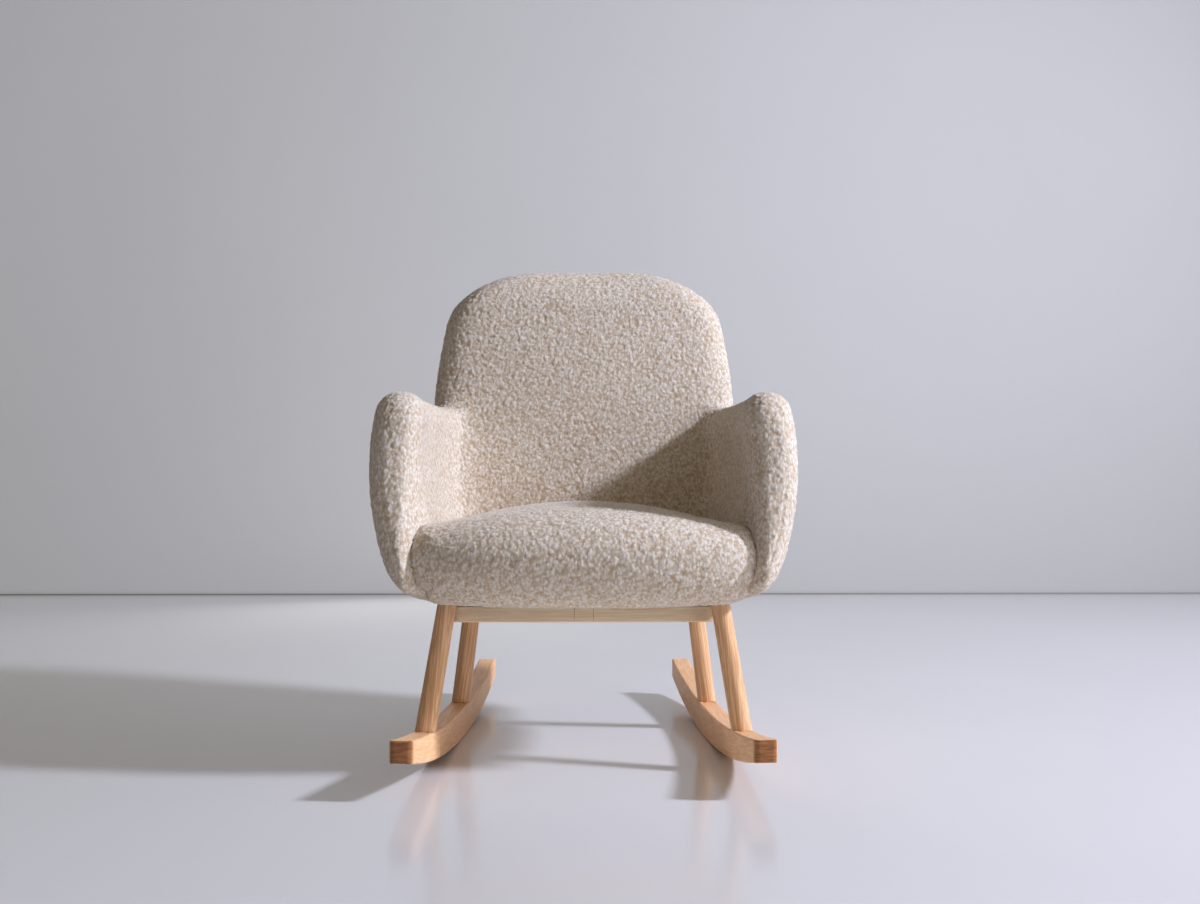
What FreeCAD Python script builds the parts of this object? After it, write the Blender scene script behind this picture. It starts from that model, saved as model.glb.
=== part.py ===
import FreeCAD, Part
import math
import os
from FreeCAD import Vector

# Upholstered rocking chair, in millimetres.
# The chair faces -Y and +Z is up. Left and right are as seen from the front, right at +X.
# The floor is at Z = 0, and the origin lies on it midway along and between the rockers.

# Clearances
FIT = 0.15
SOFT_GAP = 0.3

# Rockers
ROCKER_LENGTH = 780.0
ROCKER_WIDTH = 34.0
ROCKER_DEPTH = 48.0
ROCKER_SOLE_RADIUS = 1700.0
ROCKER_TOP_RADIUS = 2490.0
ROCKER_CONTACT_Y = 27.0
ROCKER_HALF_SPAN = 218.0
ROCKER_TOE_IN = 3.7
ROCKER_EDGE = 4.0
ROCKER_END_EDGE = 3.0

# Legs
LEG_DIAMETER = 31.0
LEG_TOP_DIAMETER = 28.5
LEG_TOP_Z = 250.0
FRONT_LEG_FOOT_Y = -226.0
FRONT_LEG_TOP_X = 205.0
FRONT_LEG_TOP_Y = -186.0
REAR_LEG_FOOT_Y = 77.0
REAR_LEG_TOP_X = 186.0
REAR_LEG_TOP_Y = 42.0
LEG_TENON_DIAMETER = 20.0
LEG_TENON_LENGTH = 22.0
LEG_SADDLE = 8.0

# Screws and plugs that hold the rockers to the legs
ROCKER_SCREW_DIAMETER = 5.0
ROCKER_SCREW_HEAD = 10.0
ROCKER_SCREW_HEAD_HEIGHT = 4.0
ROCKER_SCREW_REACH = 40.0
ROCKER_PLUG_DEPTH = 8.0
SOLE_SEARCH_STEPS = 20

# Leg plates and hanger bolts
PLATE_WIDTH = 44.0
PLATE_LENGTH = 62.0
PLATE_THICKNESS = 4.0
PLATE_SCREW_X = 15.0
PLATE_SCREW_Y = 24.0
PLATE_SCREW_DIAMETER = 4.0
PLATE_SCREW_LENGTH = 24.0
PLATE_SCREW_HEAD = 8.0
PLATE_SCREW_HEAD_HEIGHT = 2.4
HANGER_DIAMETER = 8.0
HANGER_IN_LEG = 42.0
HANGER_IN_RAIL = 40.0

# Seat frame
FRAME_HALF_WIDTH = 216.0
FRAME_FRONT_Y = -236.0
FRAME_REAR_Y = 150.0
RAIL_HEIGHT = 50.0
RAIL_THICKNESS = 24.0
SIDE_RAIL_WIDTH = 45.0
CORNER_BLOCK_LEG = 58.0
CORNER_BLOCK_HEIGHT = 36.0
CORNER_SCREW_DIAMETER = 4.0
CORNER_SCREW_LENGTH = 34.0
CORNER_SCREW_HEAD = 8.0
CORNER_SCREW_HEAD_HEIGHT = 2.5
CORNER_SCREW_SPREAD = 12.0
CORNER_SCREW_SINK = 4.0
DOWEL_DIAMETER = 8.0
DOWEL_LENGTH = 40.0
DOWEL_SPACING = 26.0

# Boards inside the shell
BOARD_THICKNESS = 12.0
BACK_LEAN = 12.7
BACK_BOARD_HALF_WIDTH = 205.0
BACK_BOARD_TOP_Z = 788.0
BACK_BOARD_CORNER = 110.0
ARM_BOARD_LEAN = 15.0
ARM_BOARD_FRONT_Y = -200.0
ARM_BOARD_REAR_Y = 100.0
ARM_BOARD_TOP_Z = 520.0
ARM_BOARD_CORNER = 60.0
SHELL_BOLT_DIAMETER = 6.0
SHELL_BOLT_HEAD = 12.0
SHELL_BOLT_HEAD_HEIGHT = 4.0
SHELL_BOLT_REACH = 20.0
SHELL_BOLT_RISE = 25.0
SHELL_WASHER_DIAMETER = 18.0
SHELL_WASHER_THICKNESS = 1.5
BACK_BOLT_SPACING = 130.0
ARM_BOLT_FIRST_Y = -130.0
ARM_BOLT_LAST_Y = 70.0

# Springs and felt
SPRING_COUNT = 5
SPRING_SPACING = 68.0
SPRING_WIRE = 3.6
SPRING_RUN = 30.0
SPRING_LOOPS = 9
SPRING_RISE = 4.5
CLIP_WIDTH = 24.0
CLIP_LENGTH = 12.0
CLIP_HEIGHT = 8.5
FELT_THICKNESS = 4.0
FELT_MARGIN = 8.0

# Dust cover and base board
DUST_THICKNESS = 1.2
DUST_MARGIN = 3.0
STAPLE_WIDTH = 10.0
STAPLE_WIRE = 1.0
STAPLE_DEPTH = 8.0
STAPLES_PER_SIDE = 7
BASE_FRONT_Y = -168.0
BASE_REAR_Y = 24.0
BASE_HALF_WIDTH = 211.0
BASE_BOW = 7.0
BASE_CORNER = 26.0
BASE_BOTTOM_Z = 212.0
BASE_THICKNESS = 24.0
BASE_EDGE = 3.0
BASE_KEY_WIDTH = 29.0
BASE_JOINT_GAP = 0.4
BATTEN_WIDTH = 26.0
BATTEN_LENGTH = 150.0
BASE_SCREW_DIAMETER = 5.0
BASE_SCREW_HEAD = 10.0
BASE_SCREW_HEAD_HEIGHT = 3.0
BASE_SCREW_IN_RAIL = 26.0
BASE_SCREW_SPACING = 110.0

# Upholstery
COVER_THICKNESS = 3.0
NOSE_TURNS = (82, 62, 36, 0)
SHELL_BOTTOM_Z = 247.0

# Back
BACK_TOP_Z = 834.0
BACK_MIDDLE_Y = 196.0
BACK_MIDDLE_Z = 400.0
BACK_HALF_THICKNESS = 42.0
BACK_TAPER = 0.0154
BACK_BOW = 16.0
BACK_RIM_HEIGHT = 44.0
BACK_SHOULDER_Z = 704.0
BACK_SHOULDER_HALF_WIDTH = 265.0
BACK_SIDE_FLARE = 0.118
BACK_WAIST_Z = 587.0
BACK_CORNER_RUN = 190.0
BACK_CURL_TOP_Z = 345.0
BACK_CURL_DEPTH = 66.0
BACK_SIDE_CURL_TOP_Z = 420.0
BACK_SIDE_CURL_DEPTH = 62.0
BACK_END_ROUND = 44.0
BACK_TOP_FLAT = 1.0
BACK_LOWER_SIDE_RISE = 60.0
BACK_RIM_RUN_IN = 40.0
BACK_CURL_TURNS = (90, 65, 42, 20)
BACK_RIM_TURNS = (0, 30, 52, 70, 83)

# Arms
ARM_THICKNESS = 76.0
ARM_TOP_Z = 563.0
ARM_LIP_X = 213.0
ARM_FRONT_PINCH = 6.0
ARM_REAR_PINCH = 60.0
ARM_REAR_PINCH_POWER = 3.0
ARM_REAR_THINNING = 25.0
ARM_WIDEST_Y = -95.0
ARM_CURL_RADIUS = 88.0
ARM_FLARE = 20.0
ARM_RIM_LEAN = -10.0
ARM_NOSE_Y = -270.0
ARM_NOSE_LENGTH = 46.0
ARM_NOSE_INSET = 32.0
ARM_REAR_Y = 205.0
ARM_FRONT_TILT = 0.12
ARM_TILT_Z = 400.0
ARM_STATIONS = 7

# Seat
SEAT_NOSE_Y = -304.0
SEAT_NOSE_LENGTH = 64.0
SEAT_REAR_Y = 172.0
SEAT_HALF_WIDTH = 247.0
SEAT_NOSE_PINCH = 34.0
SEAT_BOTTOM_Z = 245.0
SEAT_SIDE_Z = 318.0
SEAT_SHOULDER_Z = 366.0
SEAT_CROWN_Z = 396.0
SEAT_CROWN_Y = -60.0
SEAT_CROWN_FALL = 0.0004
SEAT_SHOULDER_RUN = 46.0
SEAT_SHOULDER_FULLNESS = 0.772
SEAT_FOOT_RUN = 40.0
SEAT_STATIONS = 7

# Heights that follow from the sizes above
RAIL_BOTTOM_Z = LEG_TOP_Z + PLATE_THICKNESS
RAIL_TOP_Z = RAIL_BOTTOM_Z + RAIL_HEIGHT
SPRING_Z = RAIL_TOP_Z + SPRING_RISE
FELT_BOTTOM_Z = RAIL_TOP_Z + CLIP_HEIGHT + SOFT_GAP
FELT_TOP_Z = FELT_BOTTOM_Z + FELT_THICKNESS
DUST_TOP_Z = RAIL_BOTTOM_Z - FIT
DUST_BOTTOM_Z = DUST_TOP_Z - DUST_THICKNESS
BASE_TOP_Z = BASE_BOTTOM_Z + BASE_THICKNESS
SIDE_RAIL_INNER_X = FRAME_HALF_WIDTH - SIDE_RAIL_WIDTH
SIDE_RAIL_MIDDLE_X = FRAME_HALF_WIDTH - SIDE_RAIL_WIDTH / 2


def radians_of(degrees):
    return degrees * math.pi / 180


def box(x0, x1, y0, y1, z0, z1):
    return Part.makeBox(x1 - x0, y1 - y0, z1 - z0, Vector(x0, y0, z0))


def rod(start, direction, radius, length):
    return Part.makeCylinder(radius, length, start, direction)


def mirrored(shape):
    return shape.mirror(Vector(0, 0, 0), Vector(1, 0, 0))


def both_sides(shapes):
    return shapes + [mirrored(shape) for shape in shapes]


def three_point_arc(a, b, c):
    return Part.Arc(a, b, c).toShape()


def closed_face(edges):
    return Part.Face(Part.Wire(edges))


def save(name, shape):
    shape.exportStep("parts/" + name + ".step")


def main_solid(shape):
    return max(shape.Solids, key=lambda solid: solid.Volume)


def save_group(name, shapes):
    save(name, Part.makeCompound(shapes))


# Rockers

def rocker_sole_z(y):
    reach = y - ROCKER_CONTACT_Y
    return ROCKER_SOLE_RADIUS - math.sqrt(ROCKER_SOLE_RADIUS ** 2 - reach ** 2)


def rocker_top_z(y):
    reach = y - ROCKER_CONTACT_Y
    fall = ROCKER_TOP_RADIUS - math.sqrt(ROCKER_TOP_RADIUS ** 2 - reach ** 2)
    return ROCKER_DEPTH + fall


def rocker_x(y):
    return ROCKER_HALF_SPAN - y * math.tan(radians_of(ROCKER_TOE_IN))


def rocker_blank():
    half = ROCKER_LENGTH / 2
    side = -ROCKER_WIDTH / 2
    sole = [Vector(side, y, rocker_sole_z(y)) for y in (-half, ROCKER_CONTACT_Y, half)]
    top = [Vector(side, y, rocker_top_z(y)) for y in (half, ROCKER_CONTACT_Y, -half)]
    outline = [
        three_point_arc(*sole),
        Part.makeLine(sole[2], top[0]),
        three_point_arc(*top),
        Part.makeLine(top[2], sole[0]),
    ]
    blank = closed_face(outline).extrude(Vector(ROCKER_WIDTH, 0, 0))
    long_edges = [edge for edge in blank.Edges if edge.BoundBox.YLength > half]
    blank = blank.makeFillet(ROCKER_EDGE, long_edges)
    end_edges = [edge for edge in blank.Edges if abs(abs(edge.BoundBox.Center.y) - half) < FIT]
    blank = blank.makeFillet(ROCKER_END_EDGE, end_edges)
    blank.rotate(Vector(0, 0, 0), Vector(0, 0, 1), ROCKER_TOE_IN)
    blank.translate(Vector(ROCKER_HALF_SPAN, 0, 0))
    return blank


# Legs stand on the middle line of the rocker and lean in to the seat frame

def leg_axis(foot_y, top_x, top_y):
    foot = Vector(rocker_x(foot_y), foot_y, rocker_top_z(foot_y))
    top = Vector(top_x, top_y, LEG_TOP_Z)
    direction = top.sub(foot)
    direction.normalize()
    return foot, top, direction


LEG_AXES = {
    "front": leg_axis(FRONT_LEG_FOOT_Y, FRONT_LEG_TOP_X, FRONT_LEG_TOP_Y),
    "rear": leg_axis(REAR_LEG_FOOT_Y, REAR_LEG_TOP_X, REAR_LEG_TOP_Y),
}


def along(point, direction, distance):
    return point.add(Vector(direction).multiply(distance))


def sole_point(foot, direction):
    distance = -ROCKER_DEPTH / 2
    for step in range(SOLE_SEARCH_STEPS):
        point = along(foot, direction, distance)
        distance = distance - (point.z - rocker_sole_z(point.y)) / direction.z
    return along(foot, direction, distance)


def screw_run(foot, direction):
    bottom = sole_point(foot, direction)
    head = along(bottom, direction, ROCKER_PLUG_DEPTH)
    length = foot.sub(head).Length + ROCKER_SCREW_REACH
    return bottom, head, length


def leg(axis, blank):
    foot, top, direction = axis
    length = top.sub(foot).Length
    start = along(foot, direction, -LEG_SADDLE)
    stick = Part.makeCone(LEG_DIAMETER / 2, LEG_TOP_DIAMETER / 2, length + 2 * LEG_SADDLE,
                          start, direction)
    above = box(0, 2 * FRAME_HALF_WIDTH, -ROCKER_LENGTH, ROCKER_LENGTH,
                LEG_TOP_Z, LEG_TOP_Z + ROCKER_LENGTH)
    stick = stick.cut(above).cut(blank)
    tenon_start = along(foot, direction, -LEG_TENON_LENGTH)
    tenon = rod(tenon_start, direction, LEG_TENON_DIAMETER / 2, LEG_TENON_LENGTH + LEG_DIAMETER)
    body = stick.fuse(tenon).removeSplitter()
    bolt_start = along(top, direction, -HANGER_IN_LEG)
    bolt_hole = rod(bolt_start, direction, HANGER_DIAMETER / 2 + FIT, HANGER_IN_LEG * 2)
    bottom, head, run = screw_run(foot, direction)
    screw_hole = rod(head, direction, ROCKER_SCREW_DIAMETER / 2 + FIT, run)
    return body.cut(bolt_hole).cut(screw_hole)


def rocker_screw(axis):
    foot, top, direction = axis
    bottom, head, run = screw_run(foot, direction)
    shank = rod(head, direction, ROCKER_SCREW_DIAMETER / 2, run)
    cap = rod(head, direction, ROCKER_SCREW_HEAD / 2, ROCKER_SCREW_HEAD_HEIGHT)
    return shank.fuse(cap).removeSplitter()


def rocker_plug(axis, blank):
    foot, top, direction = axis
    bottom, head, run = screw_run(foot, direction)
    start = along(bottom, direction, -ROCKER_PLUG_DEPTH)
    plug = rod(start, direction, ROCKER_SCREW_HEAD / 2, ROCKER_PLUG_DEPTH * 2)
    return plug.common(blank)


def rocker(blank):
    body = blank
    for foot, top, direction in LEG_AXES.values():
        bottom, head, run = screw_run(foot, direction)
        socket_start = along(foot, direction, -LEG_TENON_LENGTH - FIT)
        socket = rod(socket_start, direction, LEG_TENON_DIAMETER / 2 + FIT, ROCKER_DEPTH)
        head_start = along(bottom, direction, -ROCKER_PLUG_DEPTH)
        head_length = ROCKER_PLUG_DEPTH * 2 + ROCKER_SCREW_HEAD_HEIGHT + FIT
        head_hole = rod(head_start, direction, ROCKER_SCREW_HEAD / 2 + FIT, head_length)
        shank_hole = rod(head, direction, ROCKER_SCREW_DIAMETER / 2 + FIT, ROCKER_DEPTH)
        body = body.cut(socket).cut(head_hole).cut(shank_hole)
    return body


# Leg plates and hanger bolts

def hanger_bolt(axis):
    foot, top, direction = axis
    start = along(top, direction, -HANGER_IN_LEG)
    return rod(start, direction, HANGER_DIAMETER / 2, HANGER_IN_LEG + HANGER_IN_RAIL)


def hanger_hole(axis):
    foot, top, direction = axis
    start = along(top, direction, -HANGER_IN_LEG)
    reach = HANGER_IN_LEG + HANGER_IN_RAIL + FIT
    return rod(start, direction, HANGER_DIAMETER / 2 + FIT, reach)


def plate_screw_places(axis):
    foot, top, direction = axis
    return [(SIDE_RAIL_MIDDLE_X + sx * PLATE_SCREW_X, top.y + sy * PLATE_SCREW_Y)
            for sx in (-1, 1) for sy in (-1, 1)]


def leg_plate(axis):
    foot, top, direction = axis
    plate = box(SIDE_RAIL_MIDDLE_X - PLATE_WIDTH / 2, SIDE_RAIL_MIDDLE_X + PLATE_WIDTH / 2,
                top.y - PLATE_LENGTH / 2, top.y + PLATE_LENGTH / 2,
                LEG_TOP_Z, RAIL_BOTTOM_Z)
    plate = plate.cut(hanger_hole(axis))
    for x, y in plate_screw_places(axis):
        hole = rod(Vector(x, y, LEG_TOP_Z), Vector(0, 0, 1),
                   PLATE_SCREW_DIAMETER / 2 + FIT, PLATE_THICKNESS)
        plate = plate.cut(hole)
    return plate


def plate_screws(axis):
    screws = []
    for x, y in plate_screw_places(axis):
        shank = rod(Vector(x, y, LEG_TOP_Z - PLATE_SCREW_HEAD_HEIGHT), Vector(0, 0, 1),
                    PLATE_SCREW_DIAMETER / 2, PLATE_SCREW_LENGTH + PLATE_SCREW_HEAD_HEIGHT)
        cap = rod(Vector(x, y, LEG_TOP_Z - PLATE_SCREW_HEAD_HEIGHT), Vector(0, 0, 1),
                  PLATE_SCREW_HEAD / 2, PLATE_SCREW_HEAD_HEIGHT)
        screws.append(shank.fuse(cap).removeSplitter())
    return screws


# Seat frame: the outer rail faces lean with the boards that are bolted to them

def prism_along_y(points, y0, y1):
    corners = [Vector(x, y0, z) for x, z in points]
    wire = Part.makePolygon(corners + corners[:1])
    return Part.Face(wire).extrude(Vector(0, y1 - y0, 0))


def prism_along_x(points, x0, x1):
    corners = [Vector(x0, y, z) for y, z in points]
    wire = Part.makePolygon(corners + corners[:1])
    return Part.Face(wire).extrude(Vector(x1 - x0, 0, 0))


def side_rail_blank():
    lean = RAIL_HEIGHT * math.tan(radians_of(ARM_BOARD_LEAN))
    outline = [
        (SIDE_RAIL_INNER_X, RAIL_BOTTOM_Z),
        (FRAME_HALF_WIDTH, RAIL_BOTTOM_Z),
        (FRAME_HALF_WIDTH + lean, RAIL_TOP_Z),
        (SIDE_RAIL_INNER_X, RAIL_TOP_Z),
    ]
    return prism_along_y(outline, FRAME_FRONT_Y, FRAME_REAR_Y)


def rear_rail_blank():
    lean = RAIL_HEIGHT * math.tan(radians_of(BACK_LEAN))
    outline = [
        (FRAME_REAR_Y - RAIL_THICKNESS, RAIL_BOTTOM_Z),
        (FRAME_REAR_Y, RAIL_BOTTOM_Z),
        (FRAME_REAR_Y + lean, RAIL_TOP_Z),
        (FRAME_REAR_Y - RAIL_THICKNESS, RAIL_TOP_Z),
    ]
    return prism_along_x(outline, -SIDE_RAIL_INNER_X, SIDE_RAIL_INNER_X)


def front_rail_blank():
    return box(-SIDE_RAIL_INNER_X, SIDE_RAIL_INNER_X,
               FRAME_FRONT_Y, FRAME_FRONT_Y + RAIL_THICKNESS, RAIL_BOTTOM_Z, RAIL_TOP_Z)


def dowels(clearance):
    middle_z = RAIL_BOTTOM_Z + RAIL_HEIGHT / 2
    rods = []
    for y in (FRAME_FRONT_Y + RAIL_THICKNESS / 2, FRAME_REAR_Y - RAIL_THICKNESS / 2):
        for rise in (-1, 1):
            start = Vector(SIDE_RAIL_INNER_X - DOWEL_LENGTH / 2 - clearance, y,
                           middle_z + rise * DOWEL_SPACING / 2)
            right = rod(start, Vector(1, 0, 0), DOWEL_DIAMETER / 2 + clearance,
                        DOWEL_LENGTH + 2 * clearance)
            rods.extend([right, mirrored(right)])
    return rods


def corner_frame(at_front):
    if at_front:
        corner_y = FRAME_FRONT_Y + RAIL_THICKNESS
        return Vector(SIDE_RAIL_INNER_X, corner_y, RAIL_BOTTOM_Z), 1
    return Vector(SIDE_RAIL_INNER_X, FRAME_REAR_Y - RAIL_THICKNESS, RAIL_BOTTOM_Z), -1


def corner_block(at_front):
    corner, way = corner_frame(at_front)
    points = [
        corner,
        corner.add(Vector(-CORNER_BLOCK_LEG, 0, 0)),
        corner.add(Vector(0, way * CORNER_BLOCK_LEG, 0)),
        corner,
    ]
    block = Part.Face(Part.makePolygon(points)).extrude(Vector(0, 0, CORNER_BLOCK_HEIGHT))
    for hole in corner_screws(at_front, FIT):
        block = block.cut(hole)
    return block


def corner_screws(at_front, clearance):
    corner, way = corner_frame(at_front)
    middle = corner.add(Vector(-CORNER_BLOCK_LEG / 2, way * CORNER_BLOCK_LEG / 2,
                               CORNER_BLOCK_HEIGHT / 2))
    screws = []
    for side, direction in ((-1, Vector(0, -way, 0)), (1, Vector(1, 0, 0))):
        offset = side * CORNER_SCREW_SPREAD
        slide = Vector(offset, way * offset, 0)
        start = middle.add(slide)
        start = along(start, direction, -CORNER_SCREW_HEAD_HEIGHT - CORNER_SCREW_SINK)
        shank = rod(start, direction, CORNER_SCREW_DIAMETER / 2 + clearance,
                    CORNER_SCREW_LENGTH + clearance)
        cap = rod(start, direction, CORNER_SCREW_HEAD / 2 + clearance,
                  CORNER_SCREW_HEAD_HEIGHT + clearance)
        screws.append(shank.fuse(cap).removeSplitter())
    return screws


# Boards of the back and the arms, bolted to the leaning rail faces

def rounded_board(left, right, top, corner):
    diagonal = corner * (1 - math.sqrt(0.5))
    right_corner = [
        Vector(right, top - corner, 0),
        Vector(right - diagonal, top - diagonal, 0),
        Vector(right - corner, top, 0),
    ]
    left_corner = [
        Vector(left + corner, top, 0),
        Vector(left + diagonal, top - diagonal, 0),
        Vector(left, top - corner, 0),
    ]
    edges = [
        Part.makeLine(Vector(left, 0, 0), Vector(right, 0, 0)),
        Part.makeLine(Vector(right, 0, 0), right_corner[0]),
        three_point_arc(*right_corner),
        Part.makeLine(right_corner[2], left_corner[0]),
        three_point_arc(*left_corner),
        Part.makeLine(left_corner[2], Vector(left, 0, 0)),
    ]
    return closed_face(edges).extrude(Vector(0, 0, BOARD_THICKNESS))


def stand_back(shape):
    shape.rotate(Vector(0, 0, 0), Vector(1, 0, 0), 90 - BACK_LEAN)
    shape.translate(Vector(0, FRAME_REAR_Y + FIT, RAIL_BOTTOM_Z))
    return shape


def stand_arm(shape):
    shape.rotate(Vector(0, 0, 0), Vector(1, 0, 0), 90)
    shape.rotate(Vector(0, 0, 0), Vector(0, 0, 1), -90)
    shape.rotate(Vector(0, 0, 0), Vector(0, 1, 0), ARM_BOARD_LEAN)
    shape.translate(Vector(FRAME_HALF_WIDTH + FIT, 0, RAIL_BOTTOM_Z))
    return shape


def back_board_blank():
    height = (BACK_BOARD_TOP_Z - RAIL_BOTTOM_Z) / math.cos(radians_of(BACK_LEAN))
    blank = rounded_board(-BACK_BOARD_HALF_WIDTH, BACK_BOARD_HALF_WIDTH, height,
                          BACK_BOARD_CORNER)
    blank.translate(Vector(0, 0, -BOARD_THICKNESS))
    return stand_back(blank)


def arm_board_blank():
    height = (ARM_BOARD_TOP_Z - RAIL_BOTTOM_Z) / math.cos(radians_of(ARM_BOARD_LEAN))
    blank = rounded_board(-ARM_BOARD_REAR_Y, -ARM_BOARD_FRONT_Y, height,
                          ARM_BOARD_CORNER)
    blank.translate(Vector(0, 0, -BOARD_THICKNESS))
    return stand_arm(blank)


def shell_bolt(across, clearance):
    outside = BOARD_THICKNESS + SHELL_WASHER_THICKNESS + SHELL_BOLT_HEAD_HEIGHT
    start = Vector(across, SHELL_BOLT_RISE, -outside)
    shank = rod(start, Vector(0, 0, 1), SHELL_BOLT_DIAMETER / 2 + clearance,
                outside + SHELL_BOLT_REACH + clearance)
    cap = rod(start, Vector(0, 0, 1), SHELL_BOLT_HEAD / 2 + clearance, SHELL_BOLT_HEAD_HEIGHT)
    return shank.fuse(cap).removeSplitter()


def shell_washer(across):
    start = Vector(across, SHELL_BOLT_RISE, -BOARD_THICKNESS - SHELL_WASHER_THICKNESS)
    disc = rod(start, Vector(0, 0, 1), SHELL_WASHER_DIAMETER / 2, SHELL_WASHER_THICKNESS)
    hole = rod(start, Vector(0, 0, 1), SHELL_BOLT_DIAMETER / 2 + FIT, SHELL_WASHER_THICKNESS)
    return disc.cut(hole)


BACK_BOLT_PLACES = (-BACK_BOLT_SPACING, 0.0, BACK_BOLT_SPACING)
ARM_BOLT_PLACES = (-ARM_BOLT_LAST_Y, -(ARM_BOLT_FIRST_Y + ARM_BOLT_LAST_Y) / 2, -ARM_BOLT_FIRST_Y)


def back_bolts(clearance):
    return [stand_back(shell_bolt(x, clearance)) for x in BACK_BOLT_PLACES]


def arm_bolts(clearance):
    return [stand_arm(shell_bolt(y, clearance)) for y in ARM_BOLT_PLACES]


def bolt_pockets():
    reach = SHELL_WASHER_THICKNESS + SHELL_BOLT_HEAD_HEIGHT + FIT
    pockets = []
    for stand, places in ((stand_back, BACK_BOLT_PLACES), (stand_arm, ARM_BOLT_PLACES)):
        for across in places:
            start = Vector(across, SHELL_BOLT_RISE, -BOARD_THICKNESS - reach)
            pockets.append(stand(rod(start, Vector(0, 0, 1),
                                     SHELL_WASHER_DIAMETER / 2 + FIT, reach)))
    return pockets


# Springs run from the front rail to the rear rail, held by clips

def spring_ends():
    return FRAME_FRONT_Y + RAIL_THICKNESS / 2, FRAME_REAR_Y - RAIL_THICKNESS / 2


def spring(x):
    front, rear = spring_ends()
    turns = 2 * SPRING_LOOPS
    pitch = (rear - front) / turns
    bend = pitch / 2
    half_run = SPRING_RUN / 2
    edges = []
    side = 1
    for turn in range(turns):
        y = front + turn * pitch
        near = x - side * half_run
        far = x + side * half_run
        edges.append(Part.makeLine(Vector(near, y, SPRING_Z), Vector(far, y, SPRING_Z)))
        tip = Vector(far + side * bend, y + bend, SPRING_Z)
        first = Vector(far + side * bend * math.sqrt(0.5), y + bend * (1 - math.sqrt(0.5)), SPRING_Z)
        second = Vector(first.x, y + bend * (1 + math.sqrt(0.5)), SPRING_Z)
        edges.append(three_point_arc(Vector(far, y, SPRING_Z), first, tip))
        edges.append(three_point_arc(tip, second, Vector(far, y + pitch, SPRING_Z)))
        side = -side
    near = x - side * half_run
    far = x + side * half_run
    edges.append(Part.makeLine(Vector(near, rear, SPRING_Z), Vector(far, rear, SPRING_Z)))
    path = Part.Wire(edges)
    start = Vector(x - half_run, front, SPRING_Z)
    ring = Part.Wire(Part.makeCircle(SPRING_WIRE / 2, start, Vector(1, 0, 0)))
    return path.makePipeShell([ring], True, True)


def spring_clip(x, y):
    body = box(x - CLIP_WIDTH / 2, x + CLIP_WIDTH / 2, y - CLIP_LENGTH / 2, y + CLIP_LENGTH / 2,
               RAIL_TOP_Z, RAIL_TOP_Z + CLIP_HEIGHT)
    groove = rod(Vector(x - CLIP_WIDTH, y, SPRING_Z), Vector(1, 0, 0),
                 SPRING_WIRE / 2 + FIT, CLIP_WIDTH * 2)
    return body.cut(groove)


def spring_places():
    return [(index - (SPRING_COUNT - 1) / 2) * SPRING_SPACING for index in range(SPRING_COUNT)]


def felt_pad():
    return box(-SIDE_RAIL_INNER_X - SIDE_RAIL_WIDTH + FELT_MARGIN,
               SIDE_RAIL_INNER_X + SIDE_RAIL_WIDTH - FELT_MARGIN,
               FRAME_FRONT_Y + FELT_MARGIN, FRAME_REAR_Y - FELT_MARGIN,
               FELT_BOTTOM_Z, FELT_TOP_Z)


# Dust cover, its staples, and the base board below

def dust_cover():
    sheet = box(-FRAME_HALF_WIDTH + DUST_MARGIN, FRAME_HALF_WIDTH - DUST_MARGIN,
                FRAME_FRONT_Y + DUST_MARGIN, FRAME_REAR_Y - DUST_MARGIN,
                DUST_BOTTOM_Z, DUST_TOP_Z)
    for foot, top, direction in LEG_AXES.values():
        opening = box(SIDE_RAIL_MIDDLE_X - PLATE_WIDTH / 2 - DUST_MARGIN,
                      2 * FRAME_HALF_WIDTH,
                      top.y - PLATE_LENGTH / 2 - DUST_MARGIN,
                      top.y + PLATE_LENGTH / 2 + DUST_MARGIN,
                      DUST_BOTTOM_Z, DUST_TOP_Z)
        sheet = sheet.cut(opening).cut(mirrored(opening))
    for hole in base_screws(FIT) + dust_staples(FIT):
        sheet = sheet.cut(hole)
    return sheet


def staple(x, y, clearance):
    half = STAPLE_WIDTH / 2
    low = DUST_BOTTOM_Z - STAPLE_WIRE
    high = DUST_TOP_Z + STAPLE_DEPTH
    wire = STAPLE_WIRE / 2 + clearance
    crown = box(x - half - wire, x + half + wire, y - wire, y + wire, low, DUST_BOTTOM_Z)
    pins = [box(x + side * half - wire, x + side * half + wire, y - wire, y + wire, low, high)
            for side in (-1, 1)]
    return crown.fuse(pins).removeSplitter()


def dust_staples(clearance):
    reach = SIDE_RAIL_INNER_X - CORNER_BLOCK_LEG
    rows = (FRAME_FRONT_Y + RAIL_THICKNESS / 2, FRAME_REAR_Y - RAIL_THICKNESS / 2)
    step = 2 * reach / (STAPLES_PER_SIDE - 1)
    return [staple(-reach + index * step, y, clearance)
            for y in rows for index in range(STAPLES_PER_SIDE)]


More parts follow.
